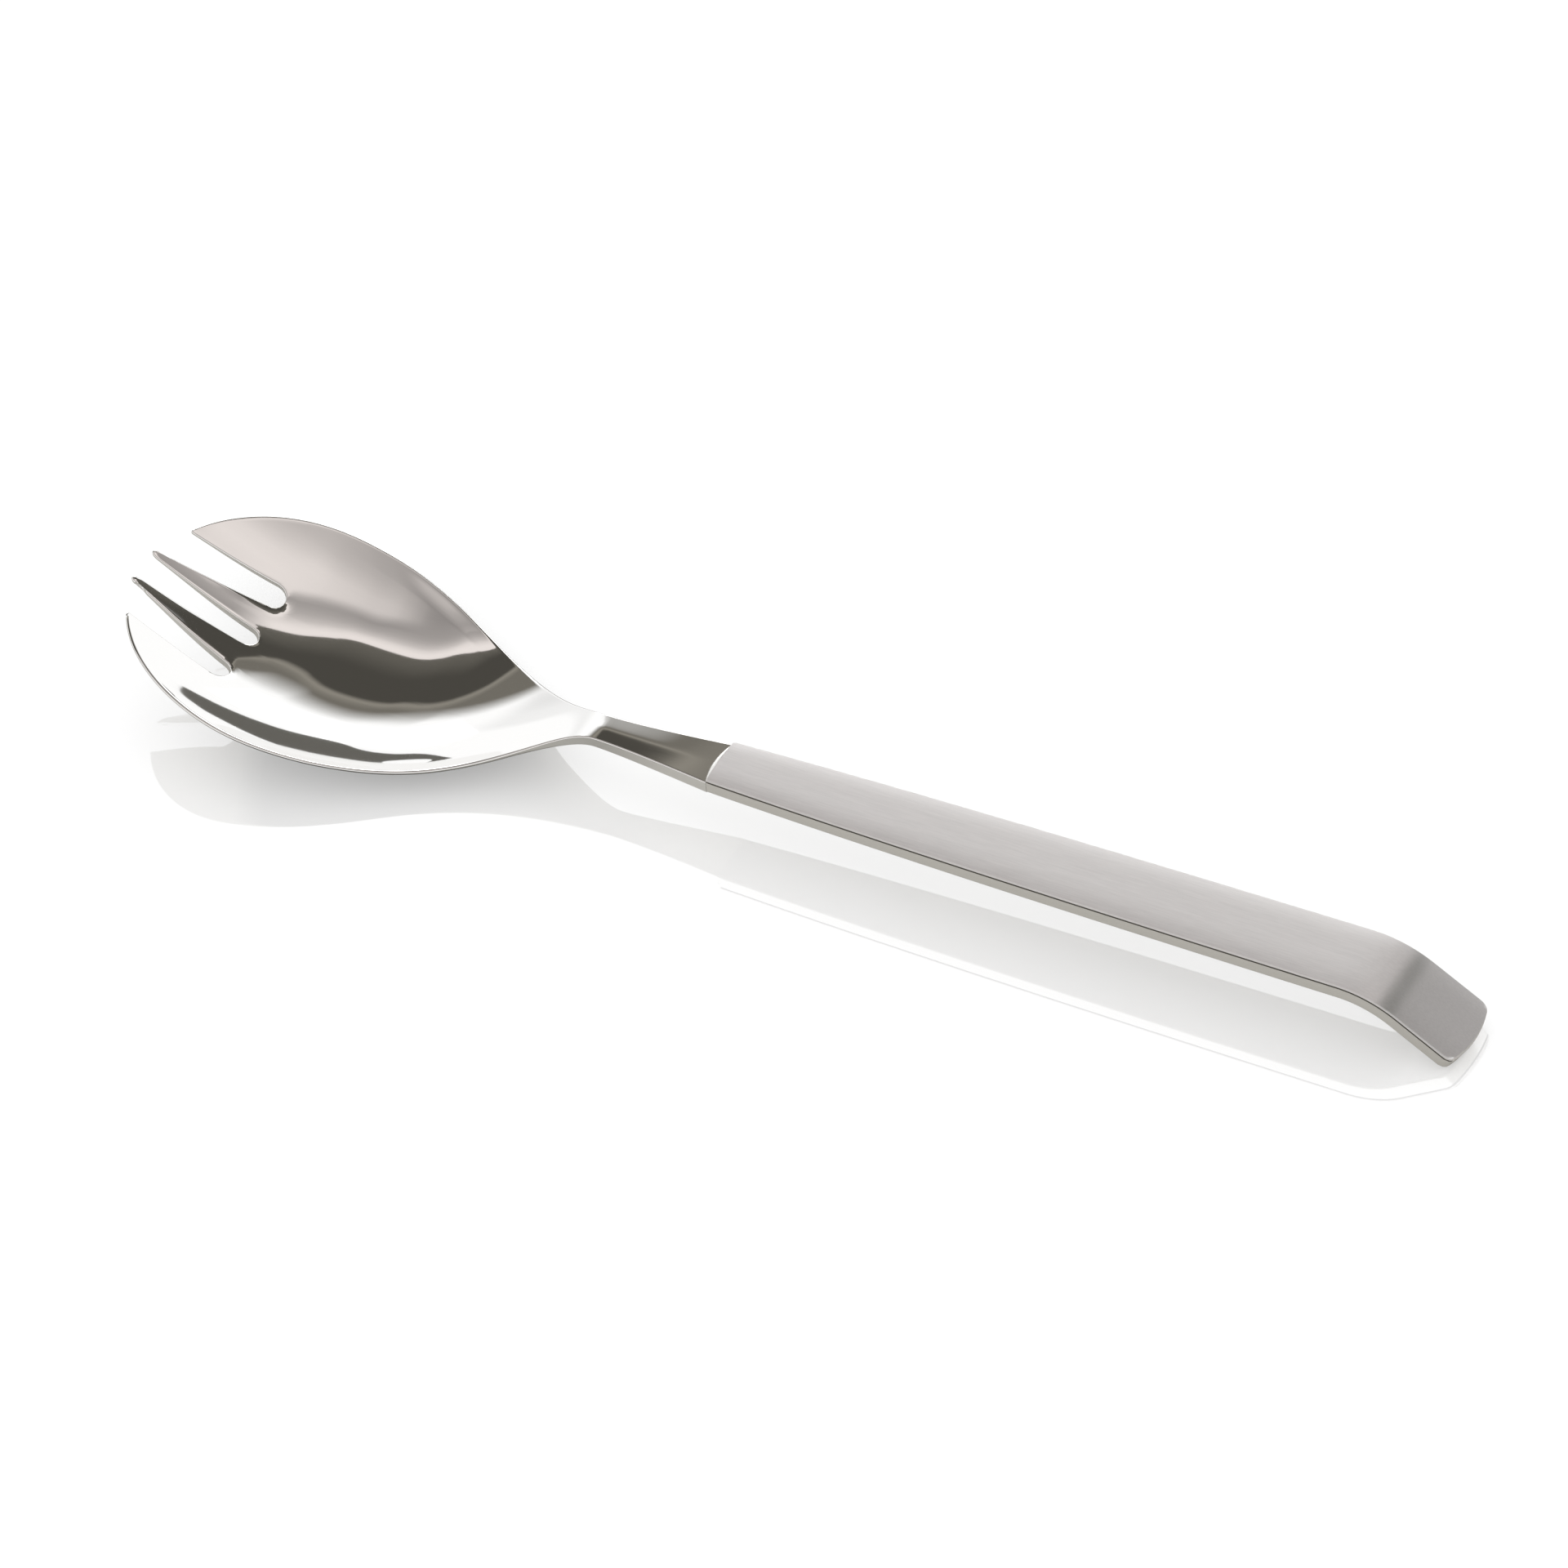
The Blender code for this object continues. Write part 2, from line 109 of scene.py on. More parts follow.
INNER_TINE_ROUND = 0.00024
OUTER_TINE_ROUND = 0.00008
TINE_ROUND_GROWS = (0.009, 0.020)
HEAD_SHARP = math.radians(50.0)

TINE_ROWS = 30
FAN_ROWS = 10
FAN_REACH = 0.006
BOWL_ROWS = 100
MIDDLE_SLOT_COLUMNS = 5
INNER_TINE_COLUMNS = 8
SIDE_SLOT_COLUMNS = 10
OUTER_TINE_COLUMNS = 26
EDGE_STEPS = 4
CURVE_STEPS = 160
BLANK_DEPTH = 0.01
MERGE = 0.000001
SLOPE_RUN = 0.0003

QUARTER = 0.5 * math.pi


def smooth(value, start, end):
    """0 before start, 1 after end, an S-curve between."""
    part = np.clip((value - start) / (end - start), 0.0, 1.0)
    return part * part * (3.0 - 2.0 * part)


def straight(first, last):
    return np.linspace(first, last, CURVE_STEPS)


def swept(first, first_pull, last_pull, last):
    """A curve that leaves the first point towards its pull and reaches the last from its own."""
    t = np.linspace(0.0, 1.0, CURVE_STEPS)[:, None]
    ends = (1.0 - t) ** 3 * np.array(first) + t**3 * np.array(last)
    return ends + 3.0 * t * (1.0 - t) * ((1.0 - t) * np.array(first_pull) + t * np.array(last_pull))


def arc(centre, radius, start, end):
    turn = np.linspace(start, end, CURVE_STEPS)
    return np.column_stack([centre[0] + radius * np.cos(turn), centre[1] + radius * np.sin(turn)])


def divide(line, count):
    """Evenly spaced points along a line of points, with both of its ends."""
    runs = np.append(0.0, np.cumsum(np.hypot(*np.diff(line, axis=0).T)))
    at = np.linspace(0.0, runs[-1], count + 1)
    return np.column_stack([np.interp(at, runs, line[:, 0]), np.interp(at, runs, line[:, 1])])


def drawn_in(lines, inset):
    """Lines that follow each other round an outline, moved to the right of their run.

    The inset is one value, or a function of the places.
    """
    whole = np.vstack([lines[0][:1], *[line[1:] for line in lines]])
    run = np.gradient(whole, axis=0)
    run /= np.hypot(*run.T)[:, None]
    by = inset(*whole.T)[:, None] if callable(inset) else inset
    moved = whole + by * np.column_stack([run[:, 1], -run[:, 0]])
    pieces, first = [], 0
    for line in lines:
        pieces.append(moved[first : first + len(line)])
        first += len(line) - 1
    return pieces


def fill(left, right, front, rear):
    """Rows of points across a patch between four lines that meet at its corners."""
    down = np.linspace(0.0, 1.0, len(left))[:, None, None]
    over = np.linspace(0.0, 1.0, len(front))[None, :, None]
    sides = (1.0 - over) * left[:, None] + over * right[:, None]
    ends = (1.0 - down) * front[None] + down * rear[None]
    front_chord = (1.0 - over) * front[0] + over * front[-1]
    rear_chord = (1.0 - over) * rear[0] + over * rear[-1]
    return sides + ends - (1.0 - down) * front_chord - down * rear_chord


def mirrored(half):
    """Rows that start on the middle line, continued to its other side."""
    return np.concatenate([half[:, :0:-1] * (1.0, -1.0), half], axis=1)


def choose_faces(made, wanted):
    """Selects the faces that a function picks, and nothing else."""
    bpy.ops.mesh.select_all(action="DESELECT")
    sheet = bmesh.from_edit_mesh(made.data)
    for face in sheet.faces:
        face.select_set(bool(wanted(face)))
    bmesh.update_edit_mesh(made.data)


def turn_outward():
    """Points all faces of the mesh that is being edited outward, and ends the editing."""
    bpy.ops.mesh.select_all(action="SELECT")
    bpy.ops.mesh.normals_make_consistent(inside=False)
    bpy.ops.object.mode_set(mode="OBJECT")


def lay_sheet(name, places, height, cut_out=None):
    """A flat sheet with its vertices at the given places in rows, without the faces in cut_out.

    It is left in edit mode, with all of it deselected.
    """
    counts = places.shape[0] - 1, places.shape[1] - 1
    bpy.ops.mesh.primitive_grid_add(x_subdivisions=counts[0], y_subdivisions=counts[1], size=2.0)
    made = bpy.context.object
    made.name = made.data.name = name
    bpy.ops.object.mode_set(mode="EDIT")
    bpy.ops.mesh.select_mode(type="FACE")
    bpy.ops.mesh.select_all(action="DESELECT")

    def row_and_column(point, whole):
        return tuple(whole(0.5 * (at + 1.0) * count) for at, count in zip(point, counts))

    if cut_out is not None:
        choose_faces(made, lambda face: cut_out[row_and_column(face.calc_center_median(), int)])
        bpy.ops.mesh.delete(type="FACE")
    sheet = bmesh.from_edit_mesh(made.data)
    for vertex in sheet.verts:
        vertex.co = (*places[row_and_column(vertex.co, round)], height)
    bmesh.update_edit_mesh(made.data)
    return made


def wrap_edge(made, profile, square_end=None, stretch=None):
    """Carries a sheet's edge along a profile of steps outward and heights, and closes the far side.

    At a square end the edge goes straight down. A stretch lengthens the steps at some places.
    """
    mesh = made.data
    sheet = bmesh.from_edit_mesh(mesh)
    start = sheet.verts.layers.float_vector.new("edge_start")
    outward = sheet.verts.layers.float_vector.new("edge_outward")
    sheet.faces.ensure_lookup_table()
    height = sheet.faces[0].verts[0].co.z
    for vertex in sheet.verts:
        vertex[start] = vertex.co
    for edge in sheet.edges:
        if not edge.is_boundary:
            continue
        ends = edge.verts
        if square_end is not None and all(abs(v.co.x - square_end) < MERGE for v in ends):
            continue
        away = (ends[1].co - ends[0].co).normalized().cross(Vector((0.0, 0.0, 1.0)))
        if away.dot(edge.link_faces[0].calc_center_median() - ends[0].co) > 0.0:
            away.negate()
        for vertex in ends:
            vertex[outward] = vertex[outward] + away
    for vertex in sheet.verts:
        if vertex.is_boundary:
            away = vertex[outward].copy()
            if square_end is not None and abs(vertex.co.x - square_end) < MERGE:
                away.x = 0.0
            longer = stretch(vertex.co.x, vertex.co.y) if stretch else 1.0
            vertex[outward] = away.normalized() * longer
    bpy.ops.mesh.select_mode(type="EDGE")
    for edge in sheet.edges:
        edge.select_set(edge.is_boundary)
    bmesh.update_edit_mesh(mesh)
    for reach, level in profile:
        bpy.ops.mesh.extrude_edges_move()
        sheet = bmesh.from_edit_mesh(mesh)
        start = sheet.verts.layers.float_vector["edge_start"]
        outward = sheet.verts.layers.float_vector["edge_outward"]
        for vertex in sheet.verts:
            if vertex.select:
                vertex.co = vertex[start] + vertex[outward] * reach
                vertex.co.z = level
        bmesh.update_edit_mesh(mesh)
    bpy.ops.mesh.select_mode(type="FACE")
    choose_faces(made, lambda face: all((v.co - v[start]).length < MERGE for v in face.verts))
    depth = profile[-1][1] - height
    bpy.ops.mesh.duplicate_move(TRANSFORM_OT_translate={"value": (0.0, 0.0, depth)})
    bpy.ops.mesh.select_all(action="SELECT")
    bpy.ops.mesh.remove_doubles(threshold=MERGE)
    turn_outward()
    for layer in ("edge_start", "edge_outward"):
        mesh.attributes.remove(mesh.attributes[layer])


def rounding(radius):
    """Steps outward and down of a quarter round, from the face to the side."""
    turns = np.linspace(0.0, QUARTER, EDGE_STEPS + 1)
    return [(radius * math.sin(t), radius * (1.0 - math.cos(t))) for t in turns]


def move_vertices(made, where):
    """Sends every vertex of a flat piece to the place that a function of three arrays gives."""
    flat = np.empty(3 * len(made.data.vertices))
    made.data.vertices.foreach_get("co", flat)
    made.data.vertices.foreach_set("co", where(*flat.reshape(-1, 3).T).ravel())
    made.data.update()


def finish_shading(made, angle):
    """Smooth shading with the normals of the large faces. Edges sharper than the angle are kept."""
    bpy.ops.object.select_all(action="DESELECT")
    made.select_set(True)
    bpy.context.view_layer.objects.active = made
    bpy.ops.object.shade_smooth_by_angle(angle=angle)
    bpy.ops.object.modifier_add(type="WEIGHTED_NORMAL")
    made.modifiers[-1].keep_sharp = True
    bpy.ops.object.modifier_apply(modifier=made.modifiers[-1].name)


# The outline of one half, from the middle slot's root round both tines and back to the shoulder.
front_turn = math.asin(SIDE_SLOT_MOUTH_OUTER / BOWL_HALF_WIDTH)
base_turn = math.acos(1.0 - (SLOT_ROOT_AT - SIDE_SLOT_ROOT_RADIUS) / BOWL_WIDEST_AT)


def front_oval(start, end):
    turn = np.linspace(start, end, CURVE_STEPS)
    return np.column_stack([BOWL_WIDEST_AT * (1.0 - np.cos(turn)), BOWL_HALF_WIDTH * np.sin(turn)])


rear_sweep = swept(
    (BOWL_WIDEST_AT, BOWL_HALF_WIDTH),
    (BOWL_WIDEST_AT + BOWL_REAR_PULL, BOWL_HALF_WIDTH),
    (NECK_AT - NECK_FRONT_PULL, NECK_HALF_WIDTH),
    (NECK_AT, NECK_HALF_WIDTH),
)
neck_sweep = swept(
    (NECK_AT, NECK_HALF_WIDTH),
    (NECK_AT + NECK_REAR_PULL, NECK_HALF_WIDTH),
    (SHOULDER_AT - SHOULDER_PULL, SHOULDER_HALF_WIDTH - SHOULDER_FLARE),
    (SHOULDER_AT, SHOULDER_HALF_WIDTH),
)
nose_turn = math.acos(1.0 - NOSE_TO / BOWL_WIDEST_AT)
nose = (TINE_TIP_AT, SIDE_SLOT_MOUTH_INNER)
whole_side = np.vstack([nose, front_oval(nose_turn, QUARTER), rear_sweep[1:], neck_sweep[1:]])
tine_profile = swept(
    (0.0, TINE_TIP_HEIGHT),
    (TINE_PULL * math.cos(TINE_RISE), TINE_TIP_HEIGHT - TINE_PULL * math.sin(TINE_RISE)),
    (BELLY_AT - BELLY_FRONT_PULL, BOWL_THICKNESS),
    (BELLY_AT, BOWL_THICKNESS),
)
neck_profile = swept(
    (BELLY_AT, BOWL_THICKNESS),
    (BELLY_AT + BELLY_REAR_PULL, BOWL_THICKNESS),
    (NECK_AT - NECK_CLIMB_PULL, SEAM_HEIGHT),
    (NECK_AT, SEAM_HEIGHT),
)
before_tips = (-PROFILE_PAST, TINE_TIP_HEIGHT + PROFILE_PAST * math.tan(TINE_RISE))
head_profile = np.vstack([before_tips, tine_profile, neck_profile[1:]])

tip_turn = np.linspace(math.pi, 0.0, CURVE_STEPS)
tip_side = np.where(
    tip_turn > QUARTER, TINE_TIP_Y - MIDDLE_SLOT_MOUTH_HALF, SIDE_SLOT_MOUTH_INNER - TINE_TIP_Y
)
inner_tip = np.column_stack([
    TINE_TIP_ROUND - (TINE_TIP_ROUND - TINE_TIP_AT) * np.sin(tip_turn),
    TINE_TIP_Y + tip_side * np.cos(tip_turn),
])
middle_root_at = (SLOT_ROOT_AT - MIDDLE_SLOT_ROOT_RADIUS, 0.0)
side_root_at = (SLOT_ROOT_AT - SIDE_SLOT_ROOT_RADIUS, SIDE_SLOT_ROOT_Y)
middle_root = arc(middle_root_at, MIDDLE_SLOT_ROOT_RADIUS, 0.0, QUARTER)
side_root = arc(side_root_at, SIDE_SLOT_ROOT_RADIUS, -QUARTER, QUARTER)

# The outer tine's point is the corner of the slot's edge and the oval, with a small round.
corner = front_oval(0.0, front_turn)[-1]
oval_run = front_oval(front_turn, base_turn)[1] - corner
slot_run = side_root[-1] - corner
opening = math.acos(np.dot(oval_run, slot_run) / (np.hypot(*oval_run) * np.hypot(*slot_run)))
back_off = OUTER_TIP_RADIUS / math.tan(0.5 * opening)
slot_run *= back_off / np.hypot(*slot_run)
oval_pace = math.hypot(
    BOWL_WIDEST_AT * math.sin(front_turn), BOWL_HALF_WIDTH * math.cos(front_turn)
)
oval_start = front_turn + back_off / oval_pace
outer_side = front_oval(oval_start, base_turn)
tip_centre = corner + (slot_run + outer_side[0] - corner) * 0.5 / math.cos(0.5 * opening) ** 2
turn_in = math.atan2(*(corner + slot_run - tip_centre)[::-1])
turn_out = math.atan2(*(outer_side[0] - tip_centre)[::-1])
outer_tip = arc(tip_centre, OUTER_TIP_RADIUS, turn_in % (2.0 * math.pi), turn_out % (2.0 * math.pi))
outer_tip[-1] = outer_side[0]

rear_side = np.vstack([front_oval(base_turn, QUARTER), rear_sweep[1:], neck_sweep[1:]])


def half_width(station):
    """Half the width of the head, as if it had no slots."""
    return np.interp(station, whole_side[:, 0], whole_side[:, 1])


def edge_reach(station, across):
    """How wide the edge is rounded: wide on the bowl's rim, narrow in the slots and on the neck."""
    on_rim = np.abs(across) > half_width(station) - 2.0 * RIM_EDGE
    full = smooth(station, RIM_EDGE_GONE[0], RIM_EDGE_FULL[0])
    full = full * (1.0 - smooth(station, RIM_EDGE_FULL[1], RIM_EDGE_GONE[1]))
    return HEAD_EDGE + (RIM_EDGE - HEAD_EDGE) * full * on_rim


inner_in = straight(middle_root[-1], inner_tip[0])
inner_out = straight(inner_tip[-1], side_root[0])
outer_in = straight(side_root[-1], outer_tip[0])
outline = [middle_root, inner_in, inner_tip, inner_out, side_root]
outline += [outer_in, outer_tip, outer_side, rear_side]
core = drawn_in(outline, edge_reach)
middle_root, inner_in, inner_tip, inner_out, side_root, *outer_lines = core
outer_in, outer_tip, outer_side, rear_side = outer_lines
middle_root[0, 1] = 0.0
rear_side[-1, 0] = SHOULDER_AT

# Rows of the half sheet: the two tines, the fan behind the slots' roots, and the bowl and neck.
inner_base = divide(np.array([inner_in[0], inner_out[-1]]), INNER_TINE_COLUMNS)
outer_base = divide(np.array([outer_in[0], outer_side[-1]]), OUTER_TINE_COLUMNS)
inner_rows = fill(
    divide(inner_in[::-1], TINE_ROWS),
    divide(inner_out, TINE_ROWS),
    divide(inner_tip, INNER_TINE_COLUMNS),
    inner_base,
)
outer_rows = fill(
    divide(outer_in[::-1], TINE_ROWS),
    divide(outer_side, TINE_ROWS),
    divide(outer_tip, OUTER_TINE_COLUMNS),
    outer_base,
)
first_row = np.vstack([
    divide(middle_root, MIDDLE_SLOT_COLUMNS),
    inner_base[1:],
    divide(side_root, SIDE_SLOT_COLUMNS)[1:],
    outer_base[1:],
])
strips = np.cumsum([MIDDLE_SLOT_COLUMNS, INNER_TINE_COLUMNS, SIDE_SLOT_COLUMNS, OUTER_TINE_COLUMNS])
first_share = first_row[:, 1] / np.interp(first_row[:, 0], rear_side[:, 0], rear_side[:, 1])
first_share[-1] = 1.0
even_share = np.interp(np.arange(strips[-1] + 1), [0, *strips], [0.0, *first_share[strips]])
fan_to = SLOT_ROOT_AT + FAN_REACH
fan = np.linspace(0.0, 1.0, FAN_ROWS + 1)[:, None]
fan_stations = first_row[None, :, 0] + (fan_to - first_row[None, :, 0]) * fan
fan_shares = first_share + (even_share - first_share) * fan
bowl_stations = np.linspace(fan_to, SHOULDER_AT, BOWL_ROWS + 1)[1:, None] * np.ones(strips[-1] + 1)
stations = np.vstack([fan_stations, bowl_stations])
shares = np.vstack([fan_shares, np.ones((BOWL_ROWS, 1)) * even_share])
across = shares * np.interp(stations, rear_side[:, 0], rear_side[:, 1])
rear_rows = np.stack([stations, across], axis=2)

half_sheet = np.zeros((TINE_ROWS + len(rear_rows), strips[-1] + 1, 2))
half_sheet[: TINE_ROWS + 1, strips[0] : strips[1] + 1] = inner_rows
half_sheet[: TINE_ROWS + 1, strips[2] : strips[3] + 1] = outer_rows
half_sheet[TINE_ROWS:] = rear_rows
slot_faces = np.zeros((len(half_sheet) - 1, strips[-1]), dtype=bool)
slot_faces[:TINE_ROWS, : strips[0]] = True
slot_faces[:TINE_ROWS, strips[1] : strips[2]] = True
slot_faces = np.hstack([slot_faces[:, ::-1], slot_faces])
fork_head = lay_sheet("polished_head", mirrored(half_sheet), 0.0, slot_faces)
upper_edge = [(reach, -drop) for reach, drop in rounding(HEAD_EDGE)[1:]]
lower_edge = [(reach, drop - BLANK_DEPTH) for reach, drop in rounding(HEAD_EDGE)[::-1]]
head_edge = upper_edge + lower_edge
wrap_edge(fork_head, head_edge, SHOULDER_AT, lambda s, y: edge_reach(s, y) / HEAD_EDGE)


def head_surface(station, across):
    """The height of the upper face before the neck is crowned."""
    middle = np.interp(station, head_profile[:, 0], head_profile[:, 1])
    bow = (1.0 - smooth(station, CROSS_FADES_FROM, NECK_AT)) / BOWL_CROSS_RADIUS
    lip_from = half_width(station) - LIP_WIDTH
    on_lip = np.maximum(0.0, np.abs(across) - lip_from)
    eased = on_lip - LIP_EASE * (1.0 - np.exp(-on_lip / LIP_EASE))
    rise = LIP_RISE * smooth(station, *LIP_STARTS) * (1.0 - smooth(station, *LIP_FADES))
    return middle + 0.5 * bow * across * across + rise * eased - tine_round(station, across)


def tine_round(station, across):
    """How far the upper face falls towards the side slots, where polishing has rounded the tines.

    The slender inner tines are rounded more than the broad outer ones.
    """
    side = np.abs(across)
    root_s, root_y = side_root_at
    inner_ys = [SIDE_SLOT_MOUTH_INNER, root_y - SIDE_SLOT_ROOT_RADIUS]
    outer_ys = [SIDE_SLOT_MOUTH_OUTER, root_y + SIDE_SLOT_ROOT_RADIUS]
    inner = np.interp(station, [TINE_TIP_ROUND, root_s], inner_ys)
    outer = np.interp(station, [corner[0], root_s], outer_ys)
    past_side = np.maximum(station - root_s, 0.0)
    from_side = np.hypot(side - 0.5 * (inner + outer), past_side) - 0.5 * (outer - inner)
    near = np.clip(1.0 - from_side / TINE_ROUND_WIDTH, 0.0, 1.0)
    depth = INNER_TINE_ROUND + (OUTER_TINE_ROUND - INNER_TINE_ROUND) * smooth(side, inner, outer)
    return depth * smooth(station, *TINE_ROUND_GROWS) * near * near


def neck_crown(station, across):
    """How far the flat on top of the neck rises over its own edges, to a soft ridge."""
    share = across / half_width(station)
    crown = FLAT_CROWN * smooth(station, FLAT_FROM, FLAT_FROM + FLAT_RUN_IN)
    crown = crown * (1.0 - smooth(station, FLAT_FADES_FROM, SHOULDER_AT))
    roof = np.hypot(share, FLAT_RIDGE_SOFTNESS) - FLAT_RIDGE_SOFTNESS
    return crown * (1.0 - roof / (math.hypot(1.0, FLAT_RIDGE_SOFTNESS) - FLAT_RIDGE_SOFTNESS))


def press(station, across, flat_height):
    """Where the press sends a point of the blank. Depths are kept from the nearer face."""
    full = RIM_THICKNESS + (BOWL_THICKNESS - RIM_THICKNESS) * smooth(station, 0.0, TINE_TAPER_TO)
    full = full + (SIDE_HEIGHT - BOWL_THICKNESS) * smooth(station, NECK_THICKENS_FROM, SHOULDER_AT)
    share = np.minimum(np.abs(across) / half_width(station), 1.0)
    thinned = share**RIM_SQUARENESS * (1.0 - smooth(station, RIM_FADES_FROM, NECK_AT))
    thickness = full + (RIM_THICKNESS - full) * thinned
    from_under = thickness - BLANK_DEPTH - flat_height
    drop = np.where(flat_height > -0.5 * BLANK_DEPTH, -flat_height, from_under)
    step = 0.5 * SLOPE_RUN
    along_rise = head_surface(station + step, across) - head_surface(station - step, across)
    cross_rise = head_surface(station, across + step) - head_surface(station, across - step)
    normal = np.array([-along_rise, -cross_rise, np.full(len(station), SLOPE_RUN)])
    normal /= np.sqrt((normal**2).sum(axis=0))
    crown = (1.0 - drop / thickness) * neck_crown(station, across)
    place = np.array([station, across, head_surface(station, across) + crown]) - normal * drop
    return place.T


tip_point = np.array([[TINE_TIP_AT], [TINE_TIP_Y], [-BLANK_DEPTH]])
front_station = press(*tip_point)[0, 0]
to_frame = np.array([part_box("fork_head")[0][0] - front_station, 0.0, 0.0])
move_vertices(fork_head, lambda s, y, z: press(s, y, z) + to_frame)

# The tang is drawn out of the shoulder's square end.
TANG_FOOT = 0.00155
TANG_THICKNESS = 0.0008
TANG_HALF_WIDTH = 0.0022
TANG_END_HALF_WIDTH = 0.0016
TANG_LENGTH = 0.038

shoulder_x = SHOULDER_AT + to_frame[0]
tang_low = SEAM_HEIGHT - TANG_FOOT
tang_high = tang_low + TANG_THICKNESS


def on_end(face):
    return all(abs(v.co.x - shoulder_x) < MERGE for v in face.verts)


def in_tang(face):
    middle = face.calc_center_median()
    inside = abs(middle.y) < TANG_HALF_WIDTH and tang_low < middle.z < tang_high
    return on_end(face) and inside


cuts = [((shoulder_x, 0.0, z), (0.0, 0.0, 1.0)) for z in (tang_low, tang_high)]
cuts += [((shoulder_x, y, 0.0), (0.0, 1.0, 0.0)) for y in (-TANG_HALF_WIDTH, TANG_HALF_WIDTH)]
bpy.ops.object.mode_set(mode="EDIT")
for middle, axis in cuts:
    choose_faces(fork_head, on_end)
    bpy.ops.mesh.bisect(plane_co=middle, plane_no=axis)
choose_faces(fork_head, in_tang)
bpy.ops.mesh.extrude_region_move(TRANSFORM_OT_translate={"value": (TANG_LENGTH, 0.0, 0.0)})
bpy.ops.transform.resize(
    value=(1.0, TANG_END_HALF_WIDTH / TANG_HALF_WIDTH, 1.0), center_override=(0.0, 0.0, tang_low)
)
bpy.ops.object.mode_set(mode="OBJECT")
finish_shading(fork_head, HEAD_SHARP)


def add_node(tree, kind, **settings):
    """A node with its inputs, by name or place, set to values or linked from sockets."""
    made = tree.nodes.new("ShaderNode" + kind)
    inputs = settings.pop("inputs", {})
    for name, value in settings.items():
        setattr(made, name, value)
    for name, value in inputs.items():
        if isinstance(value, bpy.types.NodeSocket):
            tree.links.new(value, made.inputs[name])
        else:
            made.inputs[name].default_value = value
    return made


def ranged(tree, value, start=0.0, end=1.0, low=0.0, high=1.0, kind="LINEAR"):
    """Runs from low to high while the value runs from start to end."""
    inputs = {"Value": value, "From Min": start, "From Max": end, "To Min": low, "To Max": high}
    return add_node(tree, "MapRange", interpolation_type=kind, inputs=inputs).outputs[0]


def blend(tree, share, first, second):
    """A colour between two others."""
    inputs = {0: share, 6: first, 7: second}
    return add_node(tree, "Mix", data_type="RGBA", inputs=inputs).outputs[2]


def noise(tree, place, scale, detail, roughness=0.5):
    inputs = {"Vector": place, "Scale": scale, "Detail": detail, "Roughness": roughness}
    return add_node(tree, "TexNoise", inputs=inputs).outputs[0]


# Finish marks shared by all the metal: hairlines along the fork, and a slow ripple across it.
HAIRLINE_STRETCH = (0.05, 1.0, 1.0)
HAIRLINE_DETAIL = 3.0
HAIRLINE_ROUGHNESS = 0.65
RIPPLE_DETAIL = 1.0

finish_marks = bpy.data.node_groups.new("finish_marks", "ShaderNodeTree")
for way, sockets in (("INPUT", ("Fine", "Broad")), ("OUTPUT", ("Hairlines", "Ripple"))):
    for socket in sockets:
        finish_marks.interface.new_socket(socket, in_out=way, socket_type="NodeSocketFloat")
given = finish_marks.nodes.new("NodeGroupInput").outputs
place = add_node(finish_marks, "TexCoord").outputs["Object"]
along_fork = {"Vector": place, "Scale": HAIRLINE_STRETCH}
stretched = add_node(finish_marks, "Mapping", inputs=along_fork).outputs[0]
hairlines = noise(finish_marks, stretched, given["Fine"], HAIRLINE_DETAIL, HAIRLINE_ROUGHNESS)
ripple = noise(finish_marks, place, given["Broad"], RIPPLE_DETAIL)
results = finish_marks.nodes.new("NodeGroupOutput").inputs
finish_marks.links.new(hairlines, results["Hairlines"])
finish_marks.links.new(ripple, results["Ripple"])


def metal(
    name, colour, shade, gloss, fine, broad, hairline_depth, ripple_depth, spread=0.0, scatter=0.0
):
    """Bare metal. Its hairlines shade its colour and roughness and mark its surface.

    Brushed metal spreads its reflections across the handle and scatters a part of its light.
    """
    made = bpy.data.materials.new(name)
    made.use_nodes = True
    tree = made.node_tree
    shader = tree.nodes["Principled BSDF"].inputs
    shader["Metallic"].default_value = 1.0 - scatter
    sizes = {"Fine": fine, "Broad": broad}
    marks = add_node(tree, "Group", node_tree=finish_marks, inputs=sizes).outputs
    tone = blend(tree, marks["Hairlines"], (*[shade * c for c in colour], 1.0), (*colour, 1.0))
    rough = ranged(tree, marks["Hairlines"], low=gloss[0], high=gloss[1])
    wave = add_node(tree, "Bump", inputs={"Height": marks["Ripple"], "Distance": ripple_depth})
    lines = add_node(tree, "Bump", inputs={"Height": marks["Hairlines"], "Distance": hairline_depth})
    tree.links.new(wave.outputs[0], lines.inputs["Normal"])
    tree.links.new(tone, shader["Base Color"])
    tree.links.new(rough, shader["Roughness"])
    tree.links.new(lines.outputs[0], shader["Normal"])
    if spread:
        shader["Anisotropic"].default_value = spread
        across_handle = add_node(tree, "CombineXYZ", inputs={"Y": 1.0})
        tree.links.new(across_handle.outputs[0], shader["Tangent"])
    return made


mirror_steel = metal(
    "mirror_polished_steel",
    colour=(0.97, 0.965, 0.955),
    shade=0.97,
    gloss=(0.03, 0.06),
    fine=3000.0,
    broad=90.0,
    hairline_depth=0.0000004,
    ripple_depth=0.00002,
)
fork_head.data.materials.append(mirror_steel)
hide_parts("fork_head")
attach(fork_head, "root")

# Filler core: a bar of hard cement that holds the tang and deadens the hollow handle.
# It is cast in place, dull and finely grained, and all of it is hidden.

CORE_COLOUR = (0.42, 0.40, 0.37)
CORE_SHADE = 0.8
CORE_ROUGHNESS = 0.85
CORE_GRAIN = 2500.0
CORE_GRAIN_DETAIL = 4.0
CORE_GRAIN_DEPTH = 0.00005

